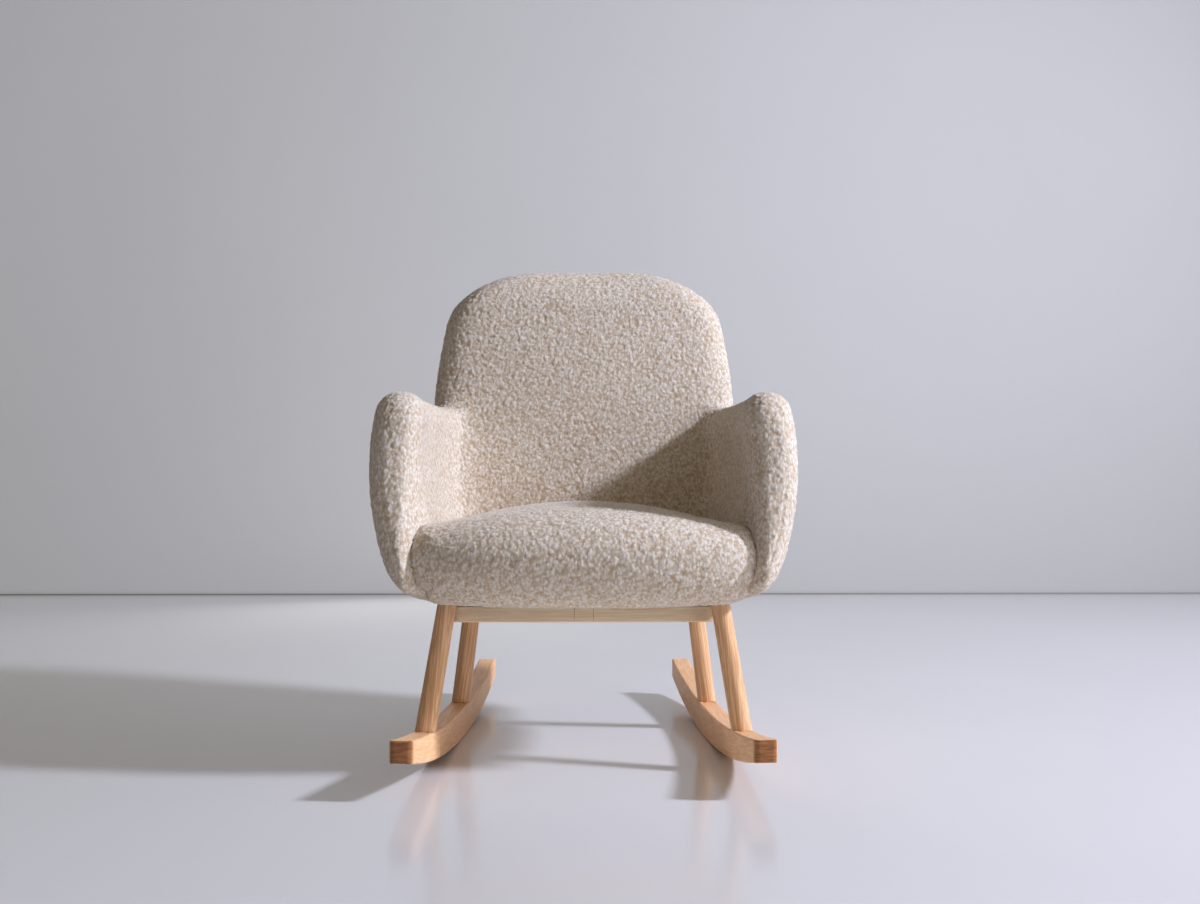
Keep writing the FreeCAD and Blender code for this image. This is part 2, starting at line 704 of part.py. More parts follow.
def base_blank():
    half = BASE_HALF_WIDTH
    side_front = BASE_FRONT_Y + BASE_BOW
    corners = [
        Vector(-half, side_front, BASE_BOTTOM_Z),
        Vector(half, side_front, BASE_BOTTOM_Z),
        Vector(half, BASE_REAR_Y, BASE_BOTTOM_Z),
        Vector(-half, BASE_REAR_Y, BASE_BOTTOM_Z),
    ]
    bow = three_point_arc(corners[0], Vector(0, BASE_FRONT_Y, BASE_BOTTOM_Z), corners[1])
    sides = [Part.makeLine(corners[i], corners[(i + 1) % 4]) for i in (1, 2, 3)]
    slab = closed_face([bow] + sides).extrude(Vector(0, 0, BASE_THICKNESS))
    uprights = [edge for edge in slab.Edges
                if abs(edge.Vertexes[0].Z - edge.Vertexes[-1].Z) > BASE_THICKNESS / 2]
    slab = slab.makeFillet(BASE_CORNER, uprights)
    rims = [edge for edge in slab.Edges
            if edge.BoundBox.ZMax - BASE_BOTTOM_Z < BASE_EDGE / 2]
    return slab.makeFillet(BASE_EDGE, rims)


def base_pieces():
    slab = base_blank()
    for hole in base_screws(FIT):
        slab = slab.cut(hole)
    half_key = BASE_KEY_WIDTH / 2
    key = slab.common(box(-half_key, half_key, -ROCKER_LENGTH, ROCKER_LENGTH,
                          BASE_BOTTOM_Z, BASE_TOP_Z))
    left_half = slab.common(box(-2 * BASE_HALF_WIDTH, -half_key - BASE_JOINT_GAP,
                                -ROCKER_LENGTH, ROCKER_LENGTH, BASE_BOTTOM_Z, BASE_TOP_Z))
    right_half = slab.common(box(half_key + BASE_JOINT_GAP, 2 * BASE_HALF_WIDTH,
                                 -ROCKER_LENGTH, ROCKER_LENGTH, BASE_BOTTOM_Z, BASE_TOP_Z))
    return left_half, right_half, key


def base_middle_y():
    return (BASE_FRONT_Y + BASE_REAR_Y) / 2


def base_batten():
    middle = base_middle_y()
    batten = box(SIDE_RAIL_MIDDLE_X - BATTEN_WIDTH / 2, SIDE_RAIL_MIDDLE_X + BATTEN_WIDTH / 2,
                 middle - BATTEN_LENGTH / 2, middle + BATTEN_LENGTH / 2,
                 BASE_TOP_Z, DUST_BOTTOM_Z - FIT)
    for hole in base_screws(FIT):
        batten = batten.cut(hole)
    return batten


def cross_batten():
    middle = base_middle_y()
    reach = SIDE_RAIL_MIDDLE_X - BATTEN_WIDTH / 2 - FIT
    return box(-reach, reach, middle - BATTEN_WIDTH / 2, middle + BATTEN_WIDTH / 2,
               BASE_TOP_Z, DUST_BOTTOM_Z - FIT)


def base_screws(clearance):
    middle = base_middle_y()
    screws = []
    for way in (-1, 1):
        start = Vector(SIDE_RAIL_MIDDLE_X, middle + way * BASE_SCREW_SPACING / 2, BASE_BOTTOM_Z)
        shank = rod(start, Vector(0, 0, 1), BASE_SCREW_DIAMETER / 2 + clearance,
                    RAIL_BOTTOM_Z + BASE_SCREW_IN_RAIL - BASE_BOTTOM_Z + clearance)
        cap = rod(start, Vector(0, 0, 1), BASE_SCREW_HEAD / 2 + clearance,
                  BASE_SCREW_HEAD_HEIGHT + clearance)
        screw = shank.fuse(cap).removeSplitter()
        screws.extend([screw, mirrored(screw)])
    return screws


# Back: level slices stacked from the seat frame to the top rim

def back_top_factor(z):
    start = BACK_TOP_Z - BACK_RIM_HEIGHT
    if z <= start:
        return 1.0
    return math.sqrt(1 - ((z - start) / BACK_RIM_HEIGHT) ** 2)


def quarter_curl(z, top, depth):
    if z >= top:
        return 0.0
    drop = min((top - z) / (top - SHELL_BOTTOM_Z), 1.0)
    return depth * (1 - math.sqrt(1 - drop ** 2))


def back_half_width(z):
    if z > BACK_SHOULDER_Z:
        rise = (z - BACK_SHOULDER_Z) / (BACK_TOP_Z - BACK_SHOULDER_Z)
        run = BACK_CORNER_RUN * math.sqrt(1 - rise ** 2)
        return BACK_SHOULDER_HALF_WIDTH - BACK_CORNER_RUN + run
    flare = BACK_SIDE_FLARE * (BACK_SHOULDER_Z - max(z, BACK_WAIST_Z))
    curl = quarter_curl(z, BACK_SIDE_CURL_TOP_Z, BACK_SIDE_CURL_DEPTH)
    return BACK_SHOULDER_HALF_WIDTH + flare - curl


def back_slice(z, inset):
    level = min(z, BACK_TOP_Z - BACK_TOP_FLAT)
    middle = BACK_MIDDLE_Y + (level - BACK_MIDDLE_Z) * math.tan(radians_of(BACK_LEAN))
    half = BACK_HALF_THICKNESS - BACK_TAPER * (level - BACK_MIDDLE_Z)
    half = half * back_top_factor(level)
    front = middle - half + inset
    rear = middle + half - inset - quarter_curl(level, BACK_CURL_TOP_Z, BACK_CURL_DEPTH)
    width = back_half_width(level) - inset
    height = z
    if z > BACK_MIDDLE_Z:
        height = z - inset
    end = min(BACK_END_ROUND, width / 2)
    shoulder = width - end
    bow = BACK_BOW * (width / BACK_SHOULDER_HALF_WIDTH) ** 2
    shoulder_bow = bow * (shoulder / width) ** 2
    tip_y = (front + rear) / 2 - bow
    round_x = shoulder + end * math.sqrt(0.5)
    reach = (rear - front) / 2 * math.sqrt(0.5)
    round_bow = bow * (round_x / width) ** 2
    middle_y = (front + rear) / 2 - round_bow

    def at(x, y):
        return Vector(x, y, height)

    rear_right = at(shoulder, rear - shoulder_bow)
    rear_left = at(-shoulder, rear - shoulder_bow)
    front_right = at(shoulder, front - shoulder_bow)
    front_left = at(-shoulder, front - shoulder_bow)
    tip_right = at(width, tip_y)
    tip_left = at(-width, tip_y)
    return Part.Wire([
        three_point_arc(rear_left, at(0, rear), rear_right),
        three_point_arc(rear_right, at(round_x, middle_y + reach), tip_right),
        three_point_arc(tip_right, at(round_x, middle_y - reach), front_right),
        three_point_arc(front_right, at(0, front), front_left),
        three_point_arc(front_left, at(-round_x, middle_y - reach), tip_left),
        three_point_arc(tip_left, at(-round_x, middle_y + reach), rear_left),
    ])


def back_body(inset):
    rim_start = BACK_TOP_Z - BACK_RIM_HEIGHT
    curl = BACK_SIDE_CURL_TOP_Z - SHELL_BOTTOM_Z
    heights = [BACK_SIDE_CURL_TOP_Z - curl * math.sin(radians_of(turn)) for turn in BACK_CURL_TURNS]
    heights += [BACK_SIDE_CURL_TOP_Z + BACK_LOWER_SIDE_RISE, BACK_WAIST_Z]
    heights += [BACK_SHOULDER_Z, rim_start - BACK_RIM_RUN_IN]
    heights += [rim_start + BACK_RIM_HEIGHT * math.sin(radians_of(turn)) for turn in BACK_RIM_TURNS]
    return Part.makeLoft([back_slice(z, inset) for z in heights], True)


# Arms: tilted upright sections from the front nose to the back

def arm_section(y, inset):
    span = ARM_REAR_Y - ARM_NOSE_Y
    share = (y - ARM_NOSE_Y) / span
    rear_tilt = math.tan(radians_of(BACK_LEAN))
    tilt = ARM_FRONT_TILT + (rear_tilt - ARM_FRONT_TILT) * share
    if y < ARM_WIDEST_Y:
        pinch = ARM_FRONT_PINCH * ((ARM_WIDEST_Y - y) / (ARM_WIDEST_Y - ARM_NOSE_Y)) ** 2
        thinning = 0.0
    else:
        run = (y - ARM_WIDEST_Y) / (ARM_REAR_Y - ARM_WIDEST_Y)
        pinch = ARM_REAR_PINCH * run ** ARM_REAR_PINCH_POWER
        thinning = ARM_REAR_THINNING * run ** ARM_REAR_PINCH_POWER
    lip_x = ARM_LIP_X - pinch
    curl = ARM_CURL_RADIUS - inset
    thickness = ARM_THICKNESS - thinning - 2 * inset
    top = ARM_TOP_Z - inset
    centre_z = SHELL_BOTTOM_Z + ARM_CURL_RADIUS
    flare = radians_of(ARM_FLARE)
    lean = radians_of(ARM_RIM_LEAN)
    bend_x = lip_x + curl * math.cos(flare)
    bend_z = centre_z - curl * math.sin(flare)
    end_z = top - thickness / 2 - thickness / 2 * math.sin(lean)
    side = (end_z - bend_z) / (math.sin(flare) - math.sin(lean))
    side_x = bend_x - side * math.cos(flare)
    side_z = bend_z + side * math.sin(flare)

    def at(x, z):
        return Vector(x, y + tilt * (z - ARM_TILT_Z), z)

    def low(angle, depth):
        turn = radians_of(angle)
        radius = curl - depth
        return at(lip_x + radius * math.cos(turn), centre_z - radius * math.sin(turn))

    def high(angle, depth):
        turn = radians_of(angle)
        radius = side - depth
        return at(side_x + radius * math.cos(turn), side_z - radius * math.sin(turn))

    rim_radius = thickness / 2
    rim_x = side_x + (side - rim_radius) * math.cos(lean)
    rim_z = side_z - (side - rim_radius) * math.sin(lean)

    def rim(angle):
        turn = radians_of(angle) - lean
        return at(rim_x + rim_radius * math.cos(turn), rim_z + rim_radius * math.sin(turn))

    half_low = (90 + ARM_FLARE) / 2
    half_high = (ARM_FLARE + ARM_RIM_LEAN) / 2
    outer_end = high(ARM_RIM_LEAN, 0)
    inner_end = high(ARM_RIM_LEAN, thickness)
    outer_bend = low(ARM_FLARE, 0)
    inner_bend = low(ARM_FLARE, thickness)
    outer_lip = low(90, 0)
    inner_lip = low(90, thickness)
    return Part.Wire([
        three_point_arc(outer_lip, low(half_low, 0), outer_bend),
        three_point_arc(outer_bend, high(half_high, 0), outer_end),
        three_point_arc(outer_end, rim(45), rim(90)),
        three_point_arc(rim(90), rim(135), inner_end),
        three_point_arc(inner_end, high(half_high, thickness), inner_bend),
        three_point_arc(inner_bend, low(half_low, thickness), inner_lip),
        Part.makeLine(inner_lip, outer_lip),
    ])


def arm_body(inset):
    sections = []
    for turn in NOSE_TURNS:
        shrink = ARM_NOSE_INSET * (1 - math.cos(radians_of(turn)))
        back = ARM_NOSE_LENGTH * (1 - math.sin(radians_of(turn)))
        sections.append(arm_section(ARM_NOSE_Y + inset + back, inset + shrink))
    full_y = ARM_NOSE_Y + ARM_NOSE_LENGTH
    for step in range(1, ARM_STATIONS + 1):
        y = full_y + (ARM_REAR_Y - full_y) * step / ARM_STATIONS
        sections.append(arm_section(y, inset))
    return Part.makeLoft(sections, True)


# Seat: upright sections from the rounded front to the back

def seat_section(y, inset, nose_turn):
    scale = math.cos(radians_of(nose_turn))
    width = SEAT_HALF_WIDTH - inset - SEAT_NOSE_PINCH * (1 - scale)
    crown = SEAT_CROWN_Z - SEAT_CROWN_FALL * (y - SEAT_CROWN_Y) ** 2
    top = SEAT_SIDE_Z + (crown - inset - SEAT_SIDE_Z) * scale
    shoulder = SEAT_SIDE_Z + (SEAT_SHOULDER_Z - inset - SEAT_SIDE_Z) * scale
    bottom = SEAT_SIDE_Z - (SEAT_SIDE_Z - SEAT_BOTTOM_Z - inset) * scale
    shoulder_x = width - SEAT_SHOULDER_RUN
    foot_x = width - SEAT_FOOT_RUN
    half = math.sqrt(0.5)

    def at(x, z):
        return Vector(x, y, z)

    def upper(side):
        return at(side * (shoulder_x + SEAT_SHOULDER_RUN * half),
                  SEAT_SIDE_Z + (shoulder - SEAT_SIDE_Z) * SEAT_SHOULDER_FULLNESS)

    def lower(side):
        return at(side * (foot_x + SEAT_FOOT_RUN * half), SEAT_SIDE_Z - (SEAT_SIDE_Z - bottom) * half)

    return Part.Wire([
        Part.makeLine(at(-foot_x, bottom), at(foot_x, bottom)),
        three_point_arc(at(foot_x, bottom), lower(1), at(width, SEAT_SIDE_Z)),
        three_point_arc(at(width, SEAT_SIDE_Z), upper(1), at(shoulder_x, shoulder)),
        three_point_arc(at(shoulder_x, shoulder), at(0, top), at(-shoulder_x, shoulder)),
        three_point_arc(at(-shoulder_x, shoulder), upper(-1), at(-width, SEAT_SIDE_Z)),
        three_point_arc(at(-width, SEAT_SIDE_Z), lower(-1), at(-foot_x, bottom)),
    ])


def seat_body(inset):
    sections = []
    for turn in NOSE_TURNS:
        back = SEAT_NOSE_LENGTH * (1 - math.sin(radians_of(turn)))
        sections.append(seat_section(SEAT_NOSE_Y + inset + back, inset, turn))
    full_y = SEAT_NOSE_Y + SEAT_NOSE_LENGTH
    for step in range(1, SEAT_STATIONS + 1):
        y = full_y + (SEAT_REAR_Y - full_y) * step / SEAT_STATIONS
        sections.append(seat_section(y, inset, 0))
    return Part.makeLoft(sections, True)


def seat_pocket():
    lean = RAIL_HEIGHT * math.tan(radians_of(ARM_BOARD_LEAN)) + SOFT_GAP
    return box(-FRAME_HALF_WIDTH - lean, FRAME_HALF_WIDTH + lean,
               FRAME_FRONT_Y - SOFT_GAP, SEAT_REAR_Y + RAIL_THICKNESS,
               SEAT_BOTTOM_Z - RAIL_HEIGHT, FELT_TOP_Z + SOFT_GAP)


def frame_pocket():
    return box(-FRAME_HALF_WIDTH - SOFT_GAP, FRAME_HALF_WIDTH + SOFT_GAP,
               FRAME_FRONT_Y - SOFT_GAP, FRAME_REAR_Y + SOFT_GAP,
               SEAT_BOTTOM_Z - RAIL_HEIGHT, FELT_TOP_Z + SOFT_GAP)


def arm_pocket():
    return box(-FRAME_HALF_WIDTH - SOFT_GAP, FRAME_HALF_WIDTH + SOFT_GAP,
               ARM_NOSE_Y - ARM_NOSE_LENGTH, FRAME_REAR_Y + RAIL_HEIGHT,
               SEAT_BOTTOM_Z - RAIL_HEIGHT, SHELL_BOTTOM_Z + ARM_CURL_RADIUS)


def leg_space(axis):
    foot, top, direction = axis
    start = along(top, direction, -RAIL_HEIGHT)
    return rod(start, direction, LEG_DIAMETER / 2 + SOFT_GAP, 2 * RAIL_HEIGHT)


os.makedirs("parts", exist_ok=True)

# Rockers and legs
blank = rocker_blank()
right_rocker = rocker(blank)
save("rocker_right", right_rocker)
save("rocker_left", mirrored(right_rocker))
for place, axis in LEG_AXES.items():
    right_leg = leg(axis, blank)
    save("leg_" + place + "_right", right_leg)
    save("leg_" + place + "_left", mirrored(right_leg))

axes = list(LEG_AXES.values())
save_group("rocker_screws", both_sides([rocker_screw(axis) for axis in axes]))
save_group("rocker_plugs", both_sides([rocker_plug(axis, blank) for axis in axes]))
save_group("leg_plates", both_sides([leg_plate(axis) for axis in axes]))
save_group("leg_hanger_bolts", both_sides([hanger_bolt(axis) for axis in axes]))
save_group("leg_plate_screws", both_sides([screw for axis in axes for screw in plate_screws(axis)]))

# Seat frame
front_rail = front_rail_blank()
rear_rail = rear_rail_blank()
side_rail = side_rail_blank()
for hole in dowels(FIT):
    front_rail = front_rail.cut(hole)
    rear_rail = rear_rail.cut(hole)
    side_rail = side_rail.cut(hole)
for at_front in (True, False):
    for hole in corner_screws(at_front, FIT):
        side_rail = side_rail.cut(hole)
        front_rail = front_rail.cut(hole).cut(mirrored(hole))
        rear_rail = rear_rail.cut(hole).cut(mirrored(hole))
for axis in axes:
    side_rail = side_rail.cut(hanger_hole(axis))
    for x, y in plate_screw_places(axis):
        hole = rod(Vector(x, y, LEG_TOP_Z), Vector(0, 0, 1),
                   PLATE_SCREW_DIAMETER / 2 + FIT, PLATE_SCREW_LENGTH + FIT)
        side_rail = side_rail.cut(hole)
for hole in base_screws(FIT) + arm_bolts(FIT):
    side_rail = side_rail.cut(hole)
for hole in back_bolts(FIT):
    rear_rail = rear_rail.cut(hole)
for hole in dust_staples(FIT):
    front_rail = front_rail.cut(hole)
    rear_rail = rear_rail.cut(hole)
save("front_rail", front_rail)
save("rear_rail", rear_rail)
save("side_rail_right", side_rail)
save("side_rail_left", mirrored(side_rail))
save_group("frame_dowels", dowels(0.0))
save_group("corner_blocks", both_sides([corner_block(True), corner_block(False)]))
save_group("corner_block_screws", both_sides(corner_screws(True, 0.0) + corner_screws(False, 0.0)))

# Boards and their bolts
back_blank = back_board_blank()
arm_blank = arm_board_blank()
back_board = back_blank
for hole in back_bolts(FIT):
    back_board = back_board.cut(hole)
arm_board = arm_blank
for hole in arm_bolts(FIT):
    arm_board = arm_board.cut(hole)
save("back_board", back_board)
save("arm_board_right", arm_board)
save("arm_board_left", mirrored(arm_board))
save_group("shell_bolts", back_bolts(0.0) + both_sides(arm_bolts(0.0)))
back_washers = [stand_back(shell_washer(x)) for x in BACK_BOLT_PLACES]
arm_washers = [stand_arm(shell_washer(y)) for y in ARM_BOLT_PLACES]
save_group("shell_washers", back_washers + both_sides(arm_washers))

# Springs and felt
front_end, rear_end = spring_ends()
save_group("seat_springs", [spring(x) for x in spring_places()])
save_group("spring_clips", [spring_clip(x, y) for x in spring_places() for y in (front_end, rear_end)])
save("spring_felt", felt_pad())

# Underside
save("dust_cover", dust_cover())
save_group("dust_cover_staples", dust_staples(0.0))
base_left, base_right, base_key = base_pieces()
save("base_board_left", base_left)
save("base_board_right", base_right)
save("base_key", base_key)
right_batten = base_batten()
save_group("base_battens", [right_batten, mirrored(right_batten), cross_batten()])
save_group("base_screws", base_screws(0.0))

# Upholstery: each cover is the skin of a soft body, and its foam fills the skin
frame_space = side_rail_blank().makeOffsetShape(SOFT_GAP, 0.01, join=2)
board_space = arm_blank.makeOffsetShape(SOFT_GAP, 0.01, join=2)
back_space = back_blank.makeOffsetShape(SOFT_GAP, 0.01, join=2)
rear_space = rear_rail_blank().makeOffsetShape(SOFT_GAP, 0.01, join=2)
pockets = bolt_pockets()
hard_right = [frame_space, board_space] + pockets
hard_all = both_sides(hard_right) + [back_space, rear_space, frame_pocket()]

back_grown = back_body(-SOFT_GAP)
back_cover = back_body(0.0).cut(hard_all).cut(back_body(COVER_THICKNESS))
back_foam = back_body(COVER_THICKNESS + SOFT_GAP).cut(hard_all)
save("back_cover", main_solid(back_cover))
save("back_foam", main_solid(back_foam))

arm_grown = arm_body(-SOFT_GAP)
leg_spaces = [leg_space(axis) for axis in axes]
arm_hard = hard_right + leg_spaces + [back_space, back_grown, arm_pocket()]
arm_cover = main_solid(arm_body(0.0).cut(arm_hard).cut(arm_body(COVER_THICKNESS)))
arm_foam = main_solid(arm_body(COVER_THICKNESS + SOFT_GAP).cut(arm_hard))
save("arm_cover_right", arm_cover)
save("arm_cover_left", mirrored(arm_cover))
save("arm_foam_right", arm_foam)
save("arm_foam_left", mirrored(arm_foam))

seat_hard = both_sides([arm_grown, board_space]) + [back_grown, seat_pocket()]
seat_cover = seat_body(0.0).cut(seat_hard).cut(seat_body(COVER_THICKNESS))
seat_foam = seat_body(COVER_THICKNESS + SOFT_GAP).cut(seat_hard)
save("seat_cover", main_solid(seat_cover))
save("seat_foam", main_solid(seat_foam))
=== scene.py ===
import itertools
import math

import bmesh
import bpy
import numpy as np
from mathutils import Euler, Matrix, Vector
from mathutils.bvhtree import BVHTree


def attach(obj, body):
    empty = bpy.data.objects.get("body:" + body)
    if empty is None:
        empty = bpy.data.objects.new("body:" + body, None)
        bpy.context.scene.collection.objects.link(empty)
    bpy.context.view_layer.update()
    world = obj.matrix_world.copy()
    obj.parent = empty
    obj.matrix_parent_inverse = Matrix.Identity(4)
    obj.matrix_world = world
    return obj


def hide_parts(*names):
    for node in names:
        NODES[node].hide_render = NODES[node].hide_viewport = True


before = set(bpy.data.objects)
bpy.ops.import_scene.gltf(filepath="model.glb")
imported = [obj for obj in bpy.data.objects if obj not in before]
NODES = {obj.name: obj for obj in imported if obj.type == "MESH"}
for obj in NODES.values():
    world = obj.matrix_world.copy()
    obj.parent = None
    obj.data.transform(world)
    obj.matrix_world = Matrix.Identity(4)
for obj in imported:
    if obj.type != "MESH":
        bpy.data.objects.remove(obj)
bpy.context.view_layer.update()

# Upholstered rocking chair, in metres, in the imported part's own frame.
# The chair faces -Y and +Z is up. Left and right are as seen from the front, right at +X.
# A pair of numbers named for a place or a facing is where an effect starts and where it is full.

SCENE = bpy.context.scene

# Camera
PICTURE_WIDTH = 1200
PICTURE_HEIGHT = 904
FOCAL_PIXELS = 1150.0
SENSOR_WIDTH = 36.0
CAMERA_PLACE = (0.0, -1.929, 0.422)
LEVEL_PIXEL = (584.0, 485.0)

# Room
ROOM_SIZE = 40.0
WALL_Y = 2.52
WALL_HEIGHT = 8.0
# Wall and floor go from the left colour to the right colour across the room: painted light and shade, paler
# on the left and darker on the right, in place of light that falls unevenly across the room.
WALL_LEFT = (0.80, 0.79, 0.75)
WALL_RIGHT = (0.48, 0.463, 0.435)
WALL_MOTTLE = 0.8
FLOOR_LEFT = (0.80, 0.79, 0.78)
FLOOR_RIGHT = (0.54, 0.52, 0.525)
FLOOR_MOTTLE = 1.3
# A thin dark strip, 5 mm tall, along the foot of the wall.
WALL_FOOT_STRIP_HEIGHT = 0.005
WALL_FOOT_STRIP_COLOUR = (0.30, 0.28, 0.25, 1.0)
SURROUND_AWAY = 9.0
SURROUND_GLOW = 0.33
SURROUND_COLOUR = (0.98, 0.98, 1.0)
SURROUND_MOTTLE = 0.3
# How fast the painted light and shade changes across the room.
PAINTED_LIGHT_CHANGE = 0.2
BLACK = (0.0, 0.0, 0.0, 1.0)

# Light
KEY_PLACE = (4.09, -0.91, 2.90)
KEY_AIM = (0.0, 0.0, 0.35)
KEY_RADIUS = 0.28
KEY_CONE = 160.0
KEY_WATTS = 1225.0
KEY_COLOUR = (0.825, 0.88, 1.08)
AMBIENT_COLOUR = (1.0, 0.92, 0.81)
AMBIENT_STRENGTH = 0.45
AMBIENT_FROM = (0.6, 0.2, 0.77)
AMBIENT_LEVELS = ((0.35, 0.05), (0.6, 0.49), (1.0, 0.9))
SIDE_PLACE = (1.65, -1.65, 0.5)
SIDE_AIM = (0.2, -0.1, 0.38)
SIDE_SIZE = 1.0
SIDE_WATTS = 8.0
SIDE_COLOUR = (0.90, 0.94, 1.06)
BOUNCE_PLACE = (0.0, -0.33, 0.01)
BOUNCE_AIM = (0.0, -0.33, 0.5)
BOUNCE_SIZE = 0.45
BOUNCE_WATTS = 0.22
BOUNCE_COLOUR = (1.0, 0.93, 0.85)
REAR_PLACE = (-0.7, 2.3, 0.8)
REAR_AIM = (0.0, 0.2, 0.45)
REAR_SIZE = 1.2
REAR_WATTS = 8.0
REAR_COLOUR = (0.97, 0.97, 0.97)

# Shape of the shell
SHELL_NODES = ("back_cover", "back_foam", "arm_cover_left", "arm_foam_left", "arm_cover_right",
               "arm_foam_right")
SHELL_CORE = ("back_board", "arm_board_left", "arm_board_right")
VOXEL = 0.005
RELAX_SHARES = (0.6, -0.57)
SHELL_FIRST_ROUNDS = 6
SHELL_LAST_ROUNDS = 8
HOLLOW_ROUNDS = 90
HOLLOW_Y = (0.03, 0.10)
HOLLOW_Z = (0.33, 0.38)
BACK_RIM_ROUNDS = 50
BACK_RIM_SHARE = 0.6
BACK_RIM_Z = (0.50, 0.58)
BACK_FULLNESS = 0.022
BACK_HALF_WIDTH = 0.25
BACK_FACING = (0.2, 0.8)
BACK_LOW_Z = (0.32, 0.44)
BACK_HIGH_Z = (0.76, 0.84)
BACK_Y = (0.02, 0.09)
ARM_NOSE_SETBACK = 0.031
ARM_NOSE_X = (0.238, 0.263)
ARM_NOSE_Y = (-0.26, -0.12)
ARM_NOSE_Z = (0.37, 0.45)

# Seam of each arm's front panel
# The arm's outline is two arcs, each given by its middle in X and Z and its radius.
ARM_LOW_ARC = (0.207, 0.335, 0.088)
ARM_HIGH_ARC = (-0.1234, 0.4552, 0.4396)
ARM_ARCS_MEET_Z = 0.306
SEAM_DEPTH = 0.0012
SEAM_HALF_WIDTH = 0.0022
SEAM_INSET = 0.022
SEAM_FACING = (0.25, 0.5)
SEAM_Y = (-0.22, -0.19)
SEAM_Z = (0.36, 0.50)

# Shape of the seat
SEAT_NODES = ("seat_cover", "seat_foam")
SEAT_ROUNDS = 10
SEAT_HALF_WIDTH = 0.25
SEAT_FRONT_Y = (-0.275, -0.20)
SEAT_FRONT_WIDENING = 0.025
SEAT_SIDE_X = (0.12, 0.23)
SEAT_FRONT_ROUNDING = 0.036
SEAT_ROUNDING_Y = (-0.29, -0.05)
SEAT_FRONT_HANG = 0.006
SEAT_HANG_HALF_WIDTH = 0.23
SEAT_HANG_Z = (0.25, 0.30)
PRESS_GAP = 0.0005

# Pile: the curls of the surface
SHELL_SEED = 100
SEAT_SEED = 200
CURL_SIZE = 0.0062
CURL_HEIGHT = 0.0018
CURL_DOME = (0.1, 0.85)
CURL_LEAST = 0.6
CURL_LEVEL = 0.55
CURL_WARP = 0.0035
CURL_WARP_SIZE = 0.009
CURL_TURN = (0.5, 0.8, 0.3)
CURL_FUZZ = 0.3
CURL_FUZZ_SIZE = 0.0042
# In the seam the curls sink. Their lower nap also makes the pile's finish paint the groove darker, as painted
# shade.
CURL_SUNK_AND_SHADED_IN_SEAM = 0.7
MAP_ANGLE = 1.15
MAP_MARGIN = 0.004

# Pile: its finish
# The pile's colours, from the low ground between the curls to the tops of the tufts. The darker, warmer low
# colours are painted shade and warm bounce in the pile's gaps; the pale tops are the yarn's own colour.
PILE_COLOURS_AND_GAP_SHADE = ((0.1, (0.52, 0.375, 0.24)), (0.38, (0.695, 0.582, 0.455)), (0.72, (0.865, 0.803, 0.73)))
PILE_ROUGHNESS = ((0.0, 1.0), (1.0, 0.86))
PILE_BUMP = (0.0011, 0.6)
NAP_SHARE = 0.3
TUFT_SCALE = 210.0
TUFT_STRETCH = (1.15, 1.15, 0.72)
TUFT_EDGE = ((0.15, 1.0), (0.72, 0.0))
TUFT_DRIFT = 0.006
TUFT_DRIFT_SCALE = 150.0
STRAND_SCALES = (290.0, 400.0)
STRAND_SHARPNESS = 9.0
STRAND_SHARE = 0.35
CURL_DYE = (0.80, 0.74, 0.68)
CURL_DYE_SHARE = 0.12
BROAD_SCALE = 9.0
BROAD_SHADE = ((0.3, 0.93), (0.7, 1.0))
FIBRE_SCALE = 1500.0
FIBRE_BUMP = (0.0003, 0.4)

# Wood: each kind's pale, warm and dark colours, then its grain
ROCKER_WOOD = ((0.90, 0.555, 0.30), (0.85, 0.48, 0.235), (0.50, 0.225, 0.09))
LEG_WOOD = ((0.95, 0.615, 0.36), (0.90, 0.545, 0.285), (0.52, 0.255, 0.118))
PLUG_WOOD = ((0.92, 0.585, 0.315), (0.86, 0.50, 0.24), (0.55, 0.265, 0.11))
BASE_WOOD = ((0.97, 0.78, 0.54), (0.93, 0.72, 0.48), (0.70, 0.51, 0.32))
SAWN_WOOD = ((0.62, 0.47, 0.29), (0.54, 0.40, 0.24), (0.30, 0.19, 0.10))
GRAIN_BANDS = (2.2, 46.0, 46.0)
GRAIN_LINES = (7.0, 430.0, 430.0)
GRAIN_FLECKS = (70.0, 1900.0, 1900.0)
GRAIN_RINGS = (20.0, 60.0, 560.0)
LINE_STRENGTH = 0.55
FLECK_STRENGTH = 0.18
END_GRAIN_FACING = ((0.3, 0.0), (0.8, 1.0))
END_GRAIN_TINT = Vector((1.0, 0.93, 0.88))
END_GRAIN_SHADES = ((0.35, 0.45), (0.65, 0.95))
EDGE_EASE = 0.0015
EDGE_WEAR_SPREAD = 2.0
EDGE_WEAR_LEVEL = ((0.82, 1.0), (0.97, 0.0))
EDGE_WEAR_PALER = 1.1
BEVEL_SAMPLES = 4
ALONG_X = (1.0, 0.0, 0.0)
ALONG_Y = (0.0, 1.0, 0.0)
ALONG_Z = (0.0, 0.0, 1.0)
ROCKER_GRAIN = (0.0, 1.0, 0.02)

